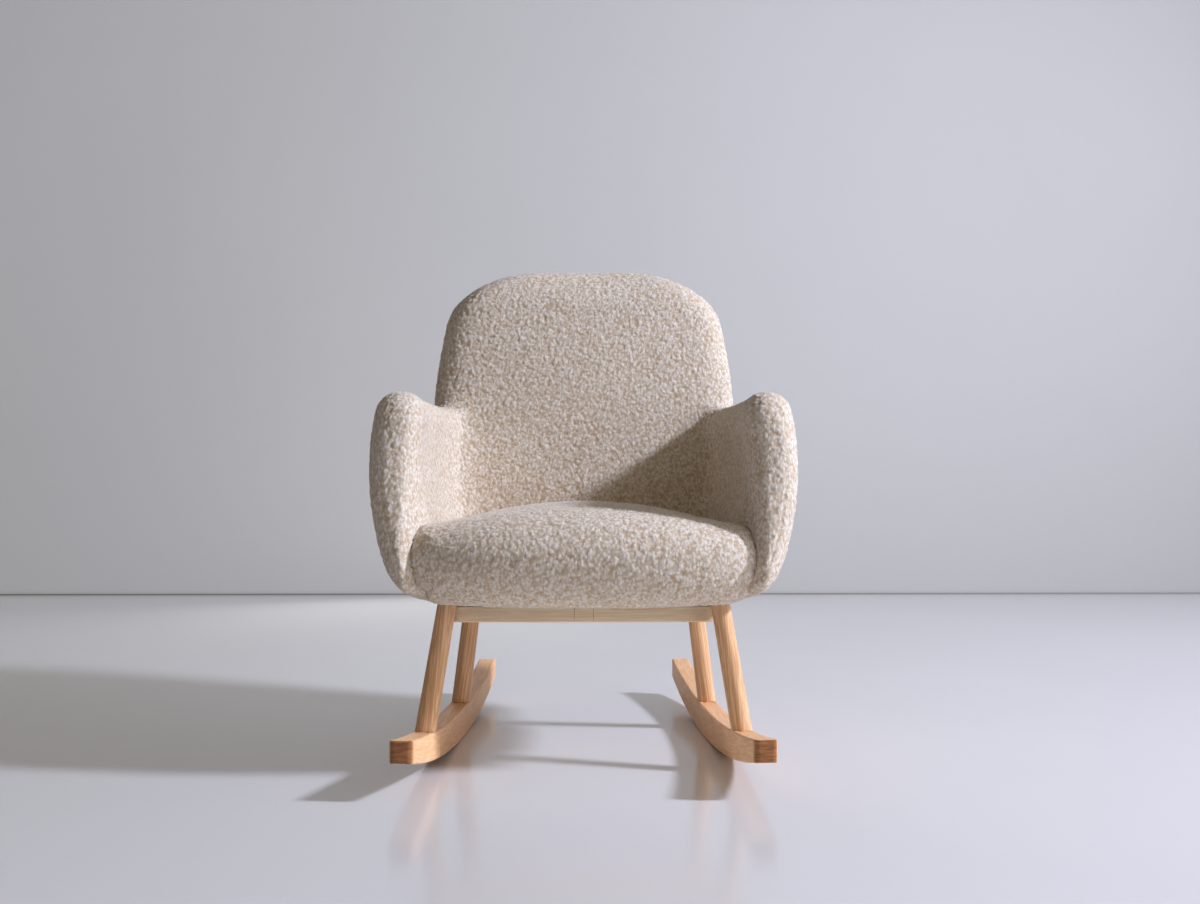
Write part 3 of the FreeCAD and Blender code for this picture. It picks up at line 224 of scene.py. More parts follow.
# Rockers and legs
ROCKER_BOW = (0.027, 1.7)
ROCKER_MIDDLE = 0.218
ROCKER_TOE_IN = math.radians(3.7)
ROCKER_HALF_LENGTH = 0.390
ROCKER_HALF_WIDTH = 0.017
ROCKER_END_ROUNDING = 0.009
ROCKER_END_STEPS = 6
ROCKER_END_REACH = 0.012
ROCKER_SHARP_ANGLE = math.radians(35.0)
SAME_POINT = 1e-6
LEG_ENDS = {
    "leg_front_left": ((-0.205, -0.186, 0.25), (-0.2163, -0.226, 0.05)),
    "leg_front_right": ((0.205, -0.186, 0.25), (0.2163, -0.226, 0.05)),
    "leg_rear_left": ((-0.186, 0.042, 0.25), (-0.2163, 0.077, 0.05)),
    "leg_rear_right": ((0.186, 0.042, 0.25), (0.2163, 0.077, 0.05)),
}

# Metal and cloth inside
ZINC = (0.62, 0.63, 0.65)
SPRING_STEEL = (0.16, 0.16, 0.17)
FELT = ((0.16, 0.15, 0.13), (0.32, 0.30, 0.27))
FELT_THREADS = 60.0
DUST_CLOTH = ((0.025, 0.024, 0.023), (0.07, 0.068, 0.065))
DUST_THREADS = 260.0


# Meshes as arrays

def points_of(mesh):
    found = np.empty(len(mesh.vertices) * 3, np.float32)
    mesh.vertices.foreach_get("co", found)
    return found.reshape(-1, 3).astype(np.float64)


def normals_of(mesh):
    found = np.empty(len(mesh.vertices) * 3, np.float32)
    mesh.vertex_normals.foreach_get("vector", found)
    return found.reshape(-1, 3).astype(np.float64)


def edges_of(mesh):
    found = np.empty(len(mesh.edges) * 2, np.int32)
    mesh.edges.foreach_get("vertices", found)
    return found.reshape(-1, 2)


def place_points(mesh, points):
    mesh.vertices.foreach_set("co", points.astype(np.float32).ravel())
    mesh.update()


def keep_values(mesh, name, values):
    kept = mesh.attributes.new(name, "FLOAT", "POINT")
    kept.data.foreach_set("value", values.astype(np.float32))


def values_of(mesh, name):
    found = np.empty(len(mesh.vertices), np.float32)
    mesh.attributes[name].data.foreach_get("value", found)
    return found.astype(np.float64)


def smooth_shaded(mesh):
    mesh.polygons.foreach_set("use_smooth", np.ones(len(mesh.polygons), bool))


def neighbour_mean(points, edges):
    ends = np.concatenate([edges[:, 0], edges[:, 1]])
    starts = np.concatenate([edges[:, 1], edges[:, 0]])
    count = np.bincount(ends, minlength=len(points))
    sums = [np.bincount(ends, points[starts, axis], len(points)) for axis in range(3)]
    return np.stack(sums, 1) / np.maximum(count, 1)[:, None]


def smooth_step(value, low, high):
    share = np.clip((value - low) / (high - low), 0.0, 1.0)
    return share * share * (3.0 - 2.0 * share)


# Noise that is the same at each run

def hashed(cells, seed):
    """A number from 0 to 1 for each cell, by mixing the bits of its place and the seed."""
    bits = np.full(cells.shape[:-1], seed * 0x9E3779B1 & 0xFFFFFFFF, np.uint32)
    for axis, factor in enumerate((0x8DA6B343, 0xD8163841, 0xCB1AB31F)):
        bits ^= cells[..., axis].astype(np.int64).astype(np.uint32) * np.uint32(factor)
    for shift, factor in ((15, 0x2C1B3C6D), (12, 0x297A2D39)):
        bits ^= bits >> np.uint32(shift)
        bits *= np.uint32(factor)
    bits ^= bits >> np.uint32(15)
    return bits / 2.0 ** 32


def soft_noise(points, size, seed):
    """Smooth noise from -1 to 1 on a grid of the given size."""
    grid = points / size
    base = np.floor(grid)
    part = grid - base
    part = part * part * (3.0 - 2.0 * part)
    total = np.zeros(len(points))
    for corner in itertools.product((0, 1), repeat=3):
        share = np.prod(np.where(corner, part, 1.0 - part), axis=1)
        total += share * hashed(base + corner, seed)
    return 2.0 * total - 1.0


def nearest_curls(points, size, seed):
    """The distance to the nearest curl, in curl sizes, and that curl's own number."""
    grid = points / size
    base = np.floor(grid)
    first = np.full(len(points), np.inf)
    own = np.zeros(len(points))
    for step in itertools.product((-1, 0, 1), repeat=3):
        cell = base + step
        middle = cell + np.stack([hashed(cell, seed + axis) for axis in range(3)], 1)
        gap = np.linalg.norm(middle - grid, axis=1)
        nearer = gap < first
        own = np.where(nearer, hashed(cell, seed + 3), own)
        first = np.where(nearer, gap, first)
    return first, own


# Soft pieces: the CAD solids fused, blended and filled out, then covered in curls

def apply_modifiers(piece):
    graph = bpy.context.evaluated_depsgraph_get()
    mesh = bpy.data.meshes.new_from_object(piece.evaluated_get(graph))
    old = piece.data
    piece.modifiers.clear()
    piece.data = mesh
    bpy.data.meshes.remove(old)


def fused(name, nodes):
    """One closed skin round the named CAD solids."""
    joined = bmesh.new()
    for node in nodes:
        joined.from_mesh(NODES[node].data)
    mesh = bpy.data.meshes.new(name)
    joined.to_mesh(mesh)
    joined.free()
    piece = bpy.data.objects.new(name, mesh)
    SCENE.collection.objects.link(piece)
    remesh = piece.modifiers.new("remesh", "REMESH")
    remesh.mode = "VOXEL"
    remesh.voxel_size = VOXEL
    apply_modifiers(piece)
    return piece


def relax(piece, rounds):
    """Smooths the piece, and gives back most of the size that smoothing takes."""
    edges = edges_of(piece.data)
    points = points_of(piece.data)
    for step in range(rounds):
        for share in RELAX_SHARES:
            points += share * (neighbour_mean(points, edges) - points)
    place_points(piece.data, points)


def fill_corners(piece, rounds, weight):
    """Rounds the hollow corners where weight is above 0: a point moves only outwards."""
    edges = edges_of(piece.data)
    for step in range(rounds):
        points = points_of(piece.data)
        normals = normals_of(piece.data)
        bend = np.sum((neighbour_mean(points, edges) - points) * normals, axis=1)
        points += (np.maximum(bend, 0.0) * weight)[:, None] * normals
        place_points(piece.data, points)


def lay_out(piece):
    """Gives the smooth piece the flat map that its finish is baked on."""
    piece.data.uv_layers.new(name="OFBake")
    bpy.ops.object.select_all(action="DESELECT")
    piece.select_set(True)
    bpy.context.view_layer.objects.active = piece
    bpy.ops.object.mode_set(mode="EDIT")
    bpy.ops.mesh.select_all(action="SELECT")
    bpy.ops.uv.smart_project(angle_limit=MAP_ANGLE, island_margin=MAP_MARGIN)
    bpy.ops.object.mode_set(mode="OBJECT")


def subdivide(piece):
    finer = piece.modifiers.new("finer", "SUBSURF")
    finer.levels = 1
    finer.render_levels = 1
    apply_modifiers(piece)


def curl_pile(piece, seed):
    """Raises the looped pile: rounded curls with gaps between, kept as attributes for the finish."""
    points = points_of(piece.data)
    normals = normals_of(piece.data)
    turned = points @ np.array(Euler(CURL_TURN).to_matrix())
    warp = [soft_noise(turned, CURL_WARP_SIZE, seed + axis) for axis in range(3)]
    warped = turned + CURL_WARP * np.stack(warp, 1)
    near, own = nearest_curls(warped, CURL_SIZE, seed + 10)
    dome = 1.0 - smooth_step(near, *CURL_DOME)
    fuzz = soft_noise(turned, CURL_FUZZ_SIZE, seed + 20)
    height = dome * (CURL_LEAST + (1.0 - CURL_LEAST) * own) + CURL_FUZZ * fuzz
    # In the seam the curls sink, and their lower nap makes the finish paint the groove darker: painted shade.
    if "sewn" in piece.data.attributes:
        height *= 1.0 - CURL_SUNK_AND_SHADED_IN_SEAM * values_of(piece.data, "sewn")
    place_points(piece.data, points + (CURL_HEIGHT * (height - CURL_LEVEL))[:, None] * normals)
    keep_values(piece.data, "nap", np.clip(height, 0.0, 1.0))
    keep_values(piece.data, "curl_tone", own)


# Shader nodes

def set_socket(tree, socket, value):
    """Links the socket to value where that is another socket, or else sets it."""
    if isinstance(value, bpy.types.NodeSocket):
        tree.links.new(value, socket)
    else:
        socket.default_value = value


def add(tree, kind, inputs=None, **settings):
    made = tree.nodes.new("ShaderNode" + kind)
    for name, value in settings.items():
        setattr(made, name, value)
    for name, value in (inputs or {}).items():
        set_socket(tree, made.inputs[name], value)
    return made


def new_finish(name, **values):
    """A new material, its node tree and its shader, whose sockets are named with _ for each space."""
    finish = bpy.data.materials.new(name)
    finish.use_nodes = True
    tree = finish.node_tree
    shader = tree.nodes["Principled BSDF"]
    for socket, value in values.items():
        shader.inputs[socket.replace("_", " ")].default_value = value
    return finish, tree, shader


def ramp(tree, value, *stops):
    made = add(tree, "ValToRGB", {"Fac": value})
    points = made.color_ramp.elements
    while len(points) < len(stops):
        points.new(0.5)
    for point, (place, colour) in zip(points, stops):
        point.position = place
        point.color = (*colour, 1.0)
    return made.outputs["Color"]


def grey_ramp(tree, value, *stops):
    return ramp(tree, value, *[(place, (level,) * 3) for place, level in stops])


def mixed(tree, share, first, second, blend="MIX"):
    made = add(tree, "Mix", data_type="RGBA", blend_type=blend)
    set_socket(tree, made.inputs[0], share)
    for socket, colour in ((made.inputs[6], first), (made.inputs[7], second)):
        set_socket(tree, socket, (*colour, 1.0) if isinstance(colour, tuple) else colour)
    return made.outputs[2]


def maths(tree, operation, *values, clamp=False):
    made = add(tree, "Math", operation=operation, use_clamp=clamp)
    for socket, value in zip(made.inputs, values):
        set_socket(tree, socket, value)
    return made.outputs[0]


def vector_maths(tree, operation, *values):
    return add(tree, "VectorMath", dict(enumerate(values)), operation=operation)


def own_place(tree):
    return add(tree, "TexCoord").outputs["Object"]


def facing(tree):
    return add(tree, "NewGeometry").outputs["Normal"]


def mapped(tree, place, **settings):
    inputs = {"Vector": place, **settings}
    return add(tree, "Mapping", inputs).outputs["Vector"]


def noise(tree, place, scale, detail=2.0, roughness=0.5, distortion=0.0):
    return add(tree, "TexNoise", {"Vector": place, "Scale": scale, "Detail": detail,
                                  "Roughness": roughness, "Distortion": distortion}).outputs["Fac"]


def bump(tree, height, distance, strength, under=None):
    inputs = {"Height": height, "Distance": distance, "Strength": strength}
    if under:
        inputs["Normal"] = under
    return add(tree, "Bump", inputs).outputs["Normal"]


# Finishes

def strand_lines(tree, place, scale):
    """Curling lines, 1 along each line's middle and 0 between the lines."""
    field = noise(tree, place, scale, 1.5, 0.5, 1.3)
    away = maths(tree, "ABSOLUTE", maths(tree, "SUBTRACT", field, 0.5))
    return maths(tree, "SUBTRACT", 1.0, maths(tree, "MULTIPLY", away, STRAND_SHARPNESS), clamp=True)


def boucle_finish():
    """Looped pile: pale tufts and strands over a darker, warmer ground, on top of the surface's own curls.
    The darker ground is painted shade in the pile's gaps.
    """
    finish, tree, shader = new_finish("boucle", Sheen_Weight=0.3, Sheen_Roughness=0.4,
                                      Specular_IOR_Level=0.2)
    place = mapped(tree, own_place(tree), Rotation=CURL_TURN)
    nap = add(tree, "Attribute", attribute_name="nap").outputs["Fac"]
    tone = add(tree, "Attribute", attribute_name="curl_tone").outputs["Fac"]
    drift = add(tree, "TexNoise", {"Vector": place, "Scale": TUFT_DRIFT_SCALE, "Detail": 2.0})
    bent = vector_maths(tree, "MULTIPLY_ADD", drift.outputs["Color"], (TUFT_DRIFT,) * 3, own_place(tree))
    tall = mapped(tree, bent.outputs["Vector"], Scale=TUFT_STRETCH, Rotation=CURL_TURN)
    apart = add(tree, "TexVoronoi", {"Vector": tall, "Scale": TUFT_SCALE}).outputs["Distance"]
    tufts = grey_ramp(tree, apart, *TUFT_EDGE)
    strands = maths(tree, "MAXIMUM", *[strand_lines(tree, place, scale) for scale in STRAND_SCALES])
    pile = maths(tree, "MULTIPLY_ADD", strands, STRAND_SHARE,
                 maths(tree, "MULTIPLY", tufts, 1.0 - STRAND_SHARE))
    height = maths(tree, "MULTIPLY_ADD", nap, NAP_SHARE, maths(tree, "MULTIPLY", pile, 1.0 - NAP_SHARE))
    dye = maths(tree, "MULTIPLY", tone, CURL_DYE_SHARE)
    # The ramp by height paints the low ground darker and warmer: painted shade in the pile's gaps. The curl
    # dye is the yarn's own random tone.
    dyed_and_shaded = mixed(tree, dye, ramp(tree, height, *PILE_COLOURS_AND_GAP_SHADE), CURL_DYE, "MULTIPLY")
    broad = grey_ramp(tree, noise(tree, place, BROAD_SCALE), *BROAD_SHADE)
    tree.links.new(mixed(tree, 1.0, dyed_and_shaded, broad, "MULTIPLY"), shader.inputs["Base Color"])
    tree.links.new(grey_ramp(tree, height, *PILE_ROUGHNESS), shader.inputs["Roughness"])
    fibres = bump(tree, noise(tree, place, FIBRE_SCALE, 2.0, 0.6), *FIBRE_BUMP)
    tree.links.new(bump(tree, pile, *PILE_BUMP, fibres), shader.inputs["Normal"])
    return finish


def bowed_place(tree, middle_y, radius):
    """Coordinates whose X runs along a rocker's curve, Y across it and Z out from its centre."""
    own = add(tree, "SeparateXYZ", {"Vector": own_place(tree)}).outputs
    ahead = maths(tree, "SUBTRACT", own["Y"], middle_y)
    down = maths(tree, "SUBTRACT", radius, own["Z"])
    along = maths(tree, "MULTIPLY", maths(tree, "ARCTAN2", ahead, down), radius)
    from_centre = add(tree, "CombineXYZ", {"X": ahead, "Y": down}).outputs["Vector"]
    reach = vector_maths(tree, "LENGTH", from_centre).outputs["Value"]
    return add(tree, "CombineXYZ", {"X": along, "Y": own["X"], "Z": reach}).outputs["Vector"]


def grain_place(tree, axis, scale, bow=None):
    """Coordinates whose X runs along the grain, stretched as scale says. A bow's grain follows its curve."""
    if bow:
        return mapped(tree, bowed_place(tree, *bow), Scale=scale)
    turn = Vector(ALONG_X).rotation_difference(Vector(axis).normalized()).inverted()
    return mapped(tree, mapped(tree, own_place(tree), Rotation=turn.to_euler()), Scale=scale)


def eased_edges(tree, radius):
    return add(tree, "Bevel", {"Radius": radius}, samples=BEVEL_SAMPLES).outputs["Normal"]


def edge_wear(tree):
    """1 along the edges, where hands and use rub the finish paler, and 0 on the faces."""
    eased = eased_edges(tree, EDGE_WEAR_SPREAD * EDGE_EASE)
    level = vector_maths(tree, "DOT_PRODUCT", eased, facing(tree)).outputs["Value"]
    return grey_ramp(tree, level, *EDGE_WEAR_LEVEL)


def wood_finish(name, axis, pale, warm, dark, roughness, ring=1.0, bow=None):
    """Wood with its grain along axis. ring is how strong the grain lines are, and bow is a rocker's curve."""
    finish, tree, shader = new_finish(name, Specular_IOR_Level=0.35)
    bands = noise(tree, grain_place(tree, axis, GRAIN_BANDS, bow), 1.0, 3.0, 0.55, 0.6)
    lines = noise(tree, grain_place(tree, axis, GRAIN_LINES, bow), 1.0, 3.0, 0.6, 0.3)
    flecks = noise(tree, grain_place(tree, axis, GRAIN_FLECKS, bow), 1.0, 1.0)
    rings = noise(tree, grain_place(tree, axis, GRAIN_RINGS, bow), 1.0, 3.0, 0.6, 0.5)
    body = ramp(tree, bands, (0.3, warm), (0.52, pale), (0.75, warm))
    line_share = grey_ramp(tree, lines, (0.42, LINE_STRENGTH * ring), (0.62, 0.0))
    fleck_share = grey_ramp(tree, flecks, (0.66, 0.0), (0.76, FLECK_STRENGTH))
    grained = mixed(tree, fleck_share, mixed(tree, line_share, body, dark), dark)
    toward = vector_maths(tree, "DOT_PRODUCT", facing(tree), Vector(axis).normalized()).outputs["Value"]
    end = grey_ramp(tree, maths(tree, "ABSOLUTE", toward), *END_GRAIN_FACING)
    cut = Vector(dark) * END_GRAIN_TINT
    end_colour = ramp(tree, rings, *[(place, shade * cut) for place, shade in END_GRAIN_SHADES])
    sawn = mixed(tree, end, grained, end_colour)
    worn = maths(tree, "MULTIPLY", edge_wear(tree), grey_ramp(tree, bands, (0.35, 0.15), (0.65, 0.5)))
    rubbed = tuple(min(1.0, EDGE_WEAR_PALER * level) for level in pale)
    tree.links.new(mixed(tree, worn, sawn, rubbed), shader.inputs["Base Color"])
    rough = grey_ramp(tree, lines, (0.3, roughness + 0.12), (0.7, roughness - 0.05))
    tree.links.new(rough, shader.inputs["Roughness"])
    relief = bump(tree, lines, 0.0004, 0.35, eased_edges(tree, EDGE_EASE))
    tree.links.new(relief, shader.inputs["Normal"])
    return finish


def steel_finish(name, colour, roughness):
    """Plated or oiled steel: a cloudy tint and fine scratches."""
    finish, tree, shader = new_finish(name, Metallic=1.0)
    place = own_place(tree)
    dull = tuple(0.82 * level for level in colour)
    tint = ramp(tree, noise(tree, place, 180.0, 3.0), (0.3, dull), (0.7, colour))
    tree.links.new(tint, shader.inputs["Base Color"])
    scratch = noise(tree, place, 2400.0, 2.0)
    rough = grey_ramp(tree, scratch, (0.3, roughness - 0.08), (0.7, roughness + 0.12))
    tree.links.new(rough, shader.inputs["Roughness"])
    tree.links.new(bump(tree, scratch, 0.0001, 0.3), shader.inputs["Normal"])
    return finish


def cloth_finish(name, dark, light, threads):
    """A plain woven or felted cloth: two sets of threads that cross, and a soft mottle."""
    finish, tree, shader = new_finish(name)
    place = own_place(tree)
    sets = [add(tree, "TexWave", {"Vector": place, "Scale": threads}, bands_direction=way).outputs["Fac"]
            for way in ("X", "Y")]
    weave = maths(tree, "MULTIPLY", *sets)
    mottle = noise(tree, place, 140.0, 3.0)
    cloth = maths(tree, "ADD", maths(tree, "MULTIPLY", weave, 0.5), maths(tree, "MULTIPLY", mottle, 0.5))
    tree.links.new(ramp(tree, cloth, (0.2, dark), (0.7, light)), shader.inputs["Base Color"])
    tree.links.new(grey_ramp(tree, cloth, (0.0, 1.0), (1.0, 0.85)), shader.inputs["Roughness"])
    tree.links.new(bump(tree, weave, 0.0004, 0.5), shader.inputs["Normal"])
    return finish


def room_paint(tree, scale, left, right):
    """A pale paint with a faint mottle, going from the left colour to the right colour across the room. Where
    these differ, the change is painted light and shade, not the paint's own colour.
    """
    place = own_place(tree)
    across = add(tree, "SeparateXYZ", {"Vector": place}).outputs["X"]
    share = maths(tree, "MULTIPLY_ADD", across, PAINTED_LIGHT_CHANGE, 0.5)
    mottle = grey_ramp(tree, noise(tree, place, scale, 3.0), (0.3, 0.97), (0.7, 1.0))
    return mixed(tree, 1.0, ramp(tree, share, (0.0, left), (1.0, right)), mottle, "MULTIPLY")


# Room, light and camera

def plane(name, corners, finish):
    mesh = bpy.data.meshes.new(name)
    mesh.from_pydata(corners, [], [tuple(range(len(corners)))])
    mesh.materials.append(finish)
    made = bpy.data.objects.new(name, mesh)
    SCENE.collection.objects.link(made)
    return made


def upright(name, start, end, height, finish):
    """A flat wall that stands on the floor from start to end."""
    corners = [(*start, 0.0), (*end, 0.0), (*end, height), (*start, height)]
    return plane(name, corners, finish)


def build_room():
    half = ROOM_SIZE / 2
    floor, tree, shader = new_finish("floor_paint_and_painted_light", Roughness=0.17)
    # Painted light and shade: the floor is paler to the left and darker to the right.
    paint = room_paint(tree, FLOOR_MOTTLE, FLOOR_LEFT, FLOOR_RIGHT)
    tree.links.new(paint, shader.inputs["Base Color"])
    plane("floor", [(-half, -half, 0.0), (half, -half, 0.0), (half, half, 0.0), (-half, half, 0.0)], floor)
    wall, tree, shader = new_finish("wall_paint_and_painted_light", Roughness=0.9)
    # Painted light and shade: the wall is paler to the left and darker to the right.
    paint = room_paint(tree, WALL_MOTTLE, WALL_LEFT, WALL_RIGHT)
    tree.links.new(paint, shader.inputs["Base Color"])
    upright("wall", (-half, WALL_Y), (half, WALL_Y), WALL_HEIGHT, wall)
    # A thin dark strip along the foot of the wall.
    wall_foot_strip = new_finish("wall_foot_strip_paint", Base_Color=WALL_FOOT_STRIP_COLOUR, Roughness=0.8)[0]
    front = WALL_Y - WALL_FOOT_STRIP_HEIGHT
    upright("wall_foot_strip", (-half, front), (half, front), WALL_FOOT_STRIP_HEIGHT, wall_foot_strip)


def build_surround():
    """Tall pale backdrops at the open sides of the room, which only the camera sees."""
    finish, tree, shader = new_finish("surround_paint", Base_Color=BLACK, Roughness=1.0,
                                      Emission_Strength=SURROUND_GLOW)
    paint = room_paint(tree, SURROUND_MOTTLE, SURROUND_COLOUR, SURROUND_COLOUR)
    tree.links.new(paint, shader.inputs["Emission Color"])
    away = SURROUND_AWAY
    for name, start, end in (("surround_left", (-away, -away), (-away, WALL_Y)),
                             ("surround_right", (away, -away), (away, WALL_Y)),
                             ("surround_front", (-away, -away), (away, -away))):
        made = upright(name, start, end, WALL_HEIGHT, finish)
        made.visible_diffuse = made.visible_glossy = made.visible_shadow = False


def place_light(data, place, aim, watts, colour):
    data.energy = watts
    data.color = colour
    lamp = bpy.data.objects.new(data.name, data)
    lamp.location = place
    lamp.rotation_euler = (Vector(aim) - Vector(place)).to_track_quat("-Z", "Y").to_euler()
    lamp.visible_camera = lamp.visible_glossy = False
    SCENE.collection.objects.link(lamp)


def area_light(name, place, aim, size, watts, colour):
    data = bpy.data.lights.new(name, "AREA")
    data.shape = "DISK"
    data.size = size
    place_light(data, place, aim, watts, colour)


def build_lights():
    spot = bpy.data.lights.new("key", "SPOT")
    spot.spot_size = math.radians(KEY_CONE)
    spot.spot_blend = 1.0
    spot.shadow_soft_size = KEY_RADIUS
    place_light(spot, KEY_PLACE, KEY_AIM, KEY_WATTS, KEY_COLOUR)
    area_light("side", SIDE_PLACE, SIDE_AIM, SIDE_SIZE, SIDE_WATTS, SIDE_COLOUR)
    area_light("floor_bounce", BOUNCE_PLACE, BOUNCE_AIM, BOUNCE_SIZE, BOUNCE_WATTS, BOUNCE_COLOUR)
    area_light("rear", REAR_PLACE, REAR_AIM, REAR_SIZE, REAR_WATTS, REAR_COLOUR)


def build_ambient():
    """A soft glow from all round, brightest from above on the right."""
    world = bpy.data.worlds.new("studio")
    world.use_nodes = True
    tree = world.node_tree
    direction = add(tree, "TexCoord").outputs["Generated"]
    toward = vector_maths(tree, "DOT_PRODUCT", direction, AMBIENT_FROM).outputs["Value"]
    level = grey_ramp(tree, maths(tree, "MULTIPLY_ADD", toward, 0.5, 0.5), *AMBIENT_LEVELS)
    ambient = tree.nodes["Background"]
    tree.links.new(mixed(tree, 1.0, AMBIENT_COLOUR, level, "MULTIPLY"), ambient.inputs["Color"])
    ambient.inputs["Strength"].default_value = AMBIENT_STRENGTH
    SCENE.world = world
    SCENE.view_settings.view_transform = "Standard"


def build_camera():
    data = bpy.data.cameras.new("camera")
    data.sensor_width = SENSOR_WIDTH
    data.lens = SENSOR_WIDTH * FOCAL_PIXELS / PICTURE_WIDTH
    across = (PICTURE_WIDTH / 2 - LEVEL_PIXEL[0]) / FOCAL_PIXELS
    up = (LEVEL_PIXEL[1] - PICTURE_HEIGHT / 2) / FOCAL_PIXELS
    camera = bpy.data.objects.new("camera", data)
    camera.location = CAMERA_PLACE
    camera.rotation_euler = Vector((across, 1.0, up)).to_track_quat("-Z", "Y").to_euler()
    SCENE.collection.objects.link(camera)
    SCENE.camera = camera


# Upholstery

def round_back_rim(shell):
    """Rounds the rim of the back from front to rear, and keeps its outline as seen from the front."""
    points = points_of(shell.data)
    edges = edges_of(shell.data)
    share = BACK_RIM_SHARE * smooth_step(points[:, 2], *BACK_RIM_Z)
    for step in range(BACK_RIM_ROUNDS):
        points[:, 1] += share * (neighbour_mean(points, edges)[:, 1] - points[:, 1])
    place_points(shell.data, points)


def fill_out_back(shell):
    """Bulges the front of the back like a pillow."""
    points = points_of(shell.data)
    forward = smooth_step(-normals_of(shell.data)[:, 1], *BACK_FACING)
    across = np.clip(1.0 - (points[:, 0] / BACK_HALF_WIDTH) ** 2, 0.0, 1.0)
    tall = smooth_step(points[:, 2], *BACK_LOW_Z) * (1.0 - smooth_step(points[:, 2], *BACK_HIGH_Z))
    behind = smooth_step(points[:, 1], *BACK_Y)
    points[:, 1] -= BACK_FULLNESS * forward * across * tall * behind
    place_points(shell.data, points)


def set_back_noses(shell):
    """Sets back the inner front of each arm, where the seat's front bulges past it."""
    points = points_of(shell.data)
    inner = 1.0 - smooth_step(np.abs(points[:, 0]), *ARM_NOSE_X)
    low = 1.0 - smooth_step(points[:, 2], *ARM_NOSE_Z)
    front = 1.0 - smooth_step(points[:, 1], *ARM_NOSE_Y)
    points[:, 1] += ARM_NOSE_SETBACK * inner * low * front
    place_points(shell.data, points)


def depth_in_arc(across, height, arc):
    middle_x, middle_z, radius = arc
    return radius - np.hypot(across - middle_x, height - middle_z)


def sew_arm_seams(shell):
    """Draws in the seam of each arm's front panel, a little inside the arm's outline. Its mask, kept as sewn,
    later sinks the curls there, and the lower nap also paints the groove darker as painted shade.
    """
    points = points_of(shell.data)
    normals = normals_of(shell.data)
    across, height = np.abs(points[:, 0]), points[:, 2]
    inside = np.where(height < ARM_ARCS_MEET_Z, depth_in_arc(across, height, ARM_LOW_ARC),
                      depth_in_arc(across, height, ARM_HIGH_ARC))
    groove = np.exp(-((inside - SEAM_INSET) / SEAM_HALF_WIDTH) ** 2)
    front = smooth_step(-normals[:, 1], *SEAM_FACING) * (1.0 - smooth_step(points[:, 1], *SEAM_Y))
    fade = 1.0 - smooth_step(height, *SEAM_Z)
    sewn = groove * front * fade
    points -= (SEAM_DEPTH * sewn)[:, None] * normals
    place_points(shell.data, points)
    keep_values(shell.data, "sewn", sewn)


def cover(piece, finish, seed):
    curl_pile(piece, seed)
    smooth_shaded(piece.data)
    piece.data.materials.clear()
    piece.data.materials.append(finish)
    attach(piece, "root")


def build_shell(finish):
    """The back and both arms in one skin."""
    shell = fused("upholstered_shell", SHELL_NODES + SHELL_CORE)
    points = points_of(shell.data)
    hollow = smooth_step(points[:, 1], *HOLLOW_Y) * smooth_step(points[:, 2], *HOLLOW_Z)
    relax(shell, SHELL_FIRST_ROUNDS)
    fill_corners(shell, HOLLOW_ROUNDS, hollow)
    round_back_rim(shell)
    fill_out_back(shell)
    set_back_noses(shell)
    relax(shell, SHELL_LAST_ROUNDS)
    lay_out(shell)
    subdivide(shell)
    sew_arm_seams(shell)
    cover(shell, finish, SHELL_SEED)
    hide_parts(*SHELL_NODES)
    return shell


def shape_seat(seat):
    """Widens the seat's front between the arms, rounds its front corners and lets its lower edge hang."""
    points = points_of(seat.data)
    front = 1.0 - smooth_step(points[:, 1], *SEAT_FRONT_Y)
    side = smooth_step(np.abs(points[:, 0]), *SEAT_SIDE_X)
    points[:, 0] += SEAT_FRONT_WIDENING * front * side * np.sign(points[:, 0])
    rounding = (np.minimum(np.abs(points[:, 0]), SEAT_HALF_WIDTH) / SEAT_HALF_WIDTH) ** 3
    ahead = 1.0 - smooth_step(points[:, 1], *SEAT_ROUNDING_Y)
    points[:, 1] += SEAT_FRONT_ROUNDING * rounding * ahead
    hang = np.clip(1.0 - (points[:, 0] / SEAT_HANG_HALF_WIDTH) ** 2, 0.0, 1.0)
    low = 1.0 - smooth_step(points[:, 2], *SEAT_HANG_Z)
    points[:, 2] -= SEAT_FRONT_HANG * hang * low * front
    place_points(seat.data, points)


def build_seat(finish):
    seat = fused("seat_cushion", SEAT_NODES)
    shape_seat(seat)
    relax(seat, SEAT_ROUNDS)
    lay_out(seat)
    subdivide(seat)
    cover(seat, finish, SEAT_SEED)
    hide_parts(*SEAT_NODES)
    return seat


def press_in(shell, seat):
    """Presses the shell clear of the seat where they meet: outwards at the arms, backwards at the back."""
    tree = BVHTree.FromObject(seat, bpy.context.evaluated_depsgraph_get())
    points = points_of(shell.data)
    taken = points_of(seat.data)
    near = np.all((points > taken.min(0)) & (points < taken.max(0)), axis=1)
    backward = Vector(ALONG_Y)
    for index in np.flatnonzero(near):
        start = Vector(points[index])
        outward = Vector((math.copysign(1.0, start.x), 0.0, 0.0))
        hit, normal, face, away = tree.ray_cast(start, outward)
        if hit is None or normal.dot(outward) < 0.0:
            continue
        rear_away = tree.ray_cast(start, backward)[3]
        if rear_away is not None and rear_away < away:
            points[index, 1] += rear_away + PRESS_GAP
        else:
            points[index, 0] += (away + PRESS_GAP) * outward.x
    place_points(shell.data, points)


# Wooden frame and fittings

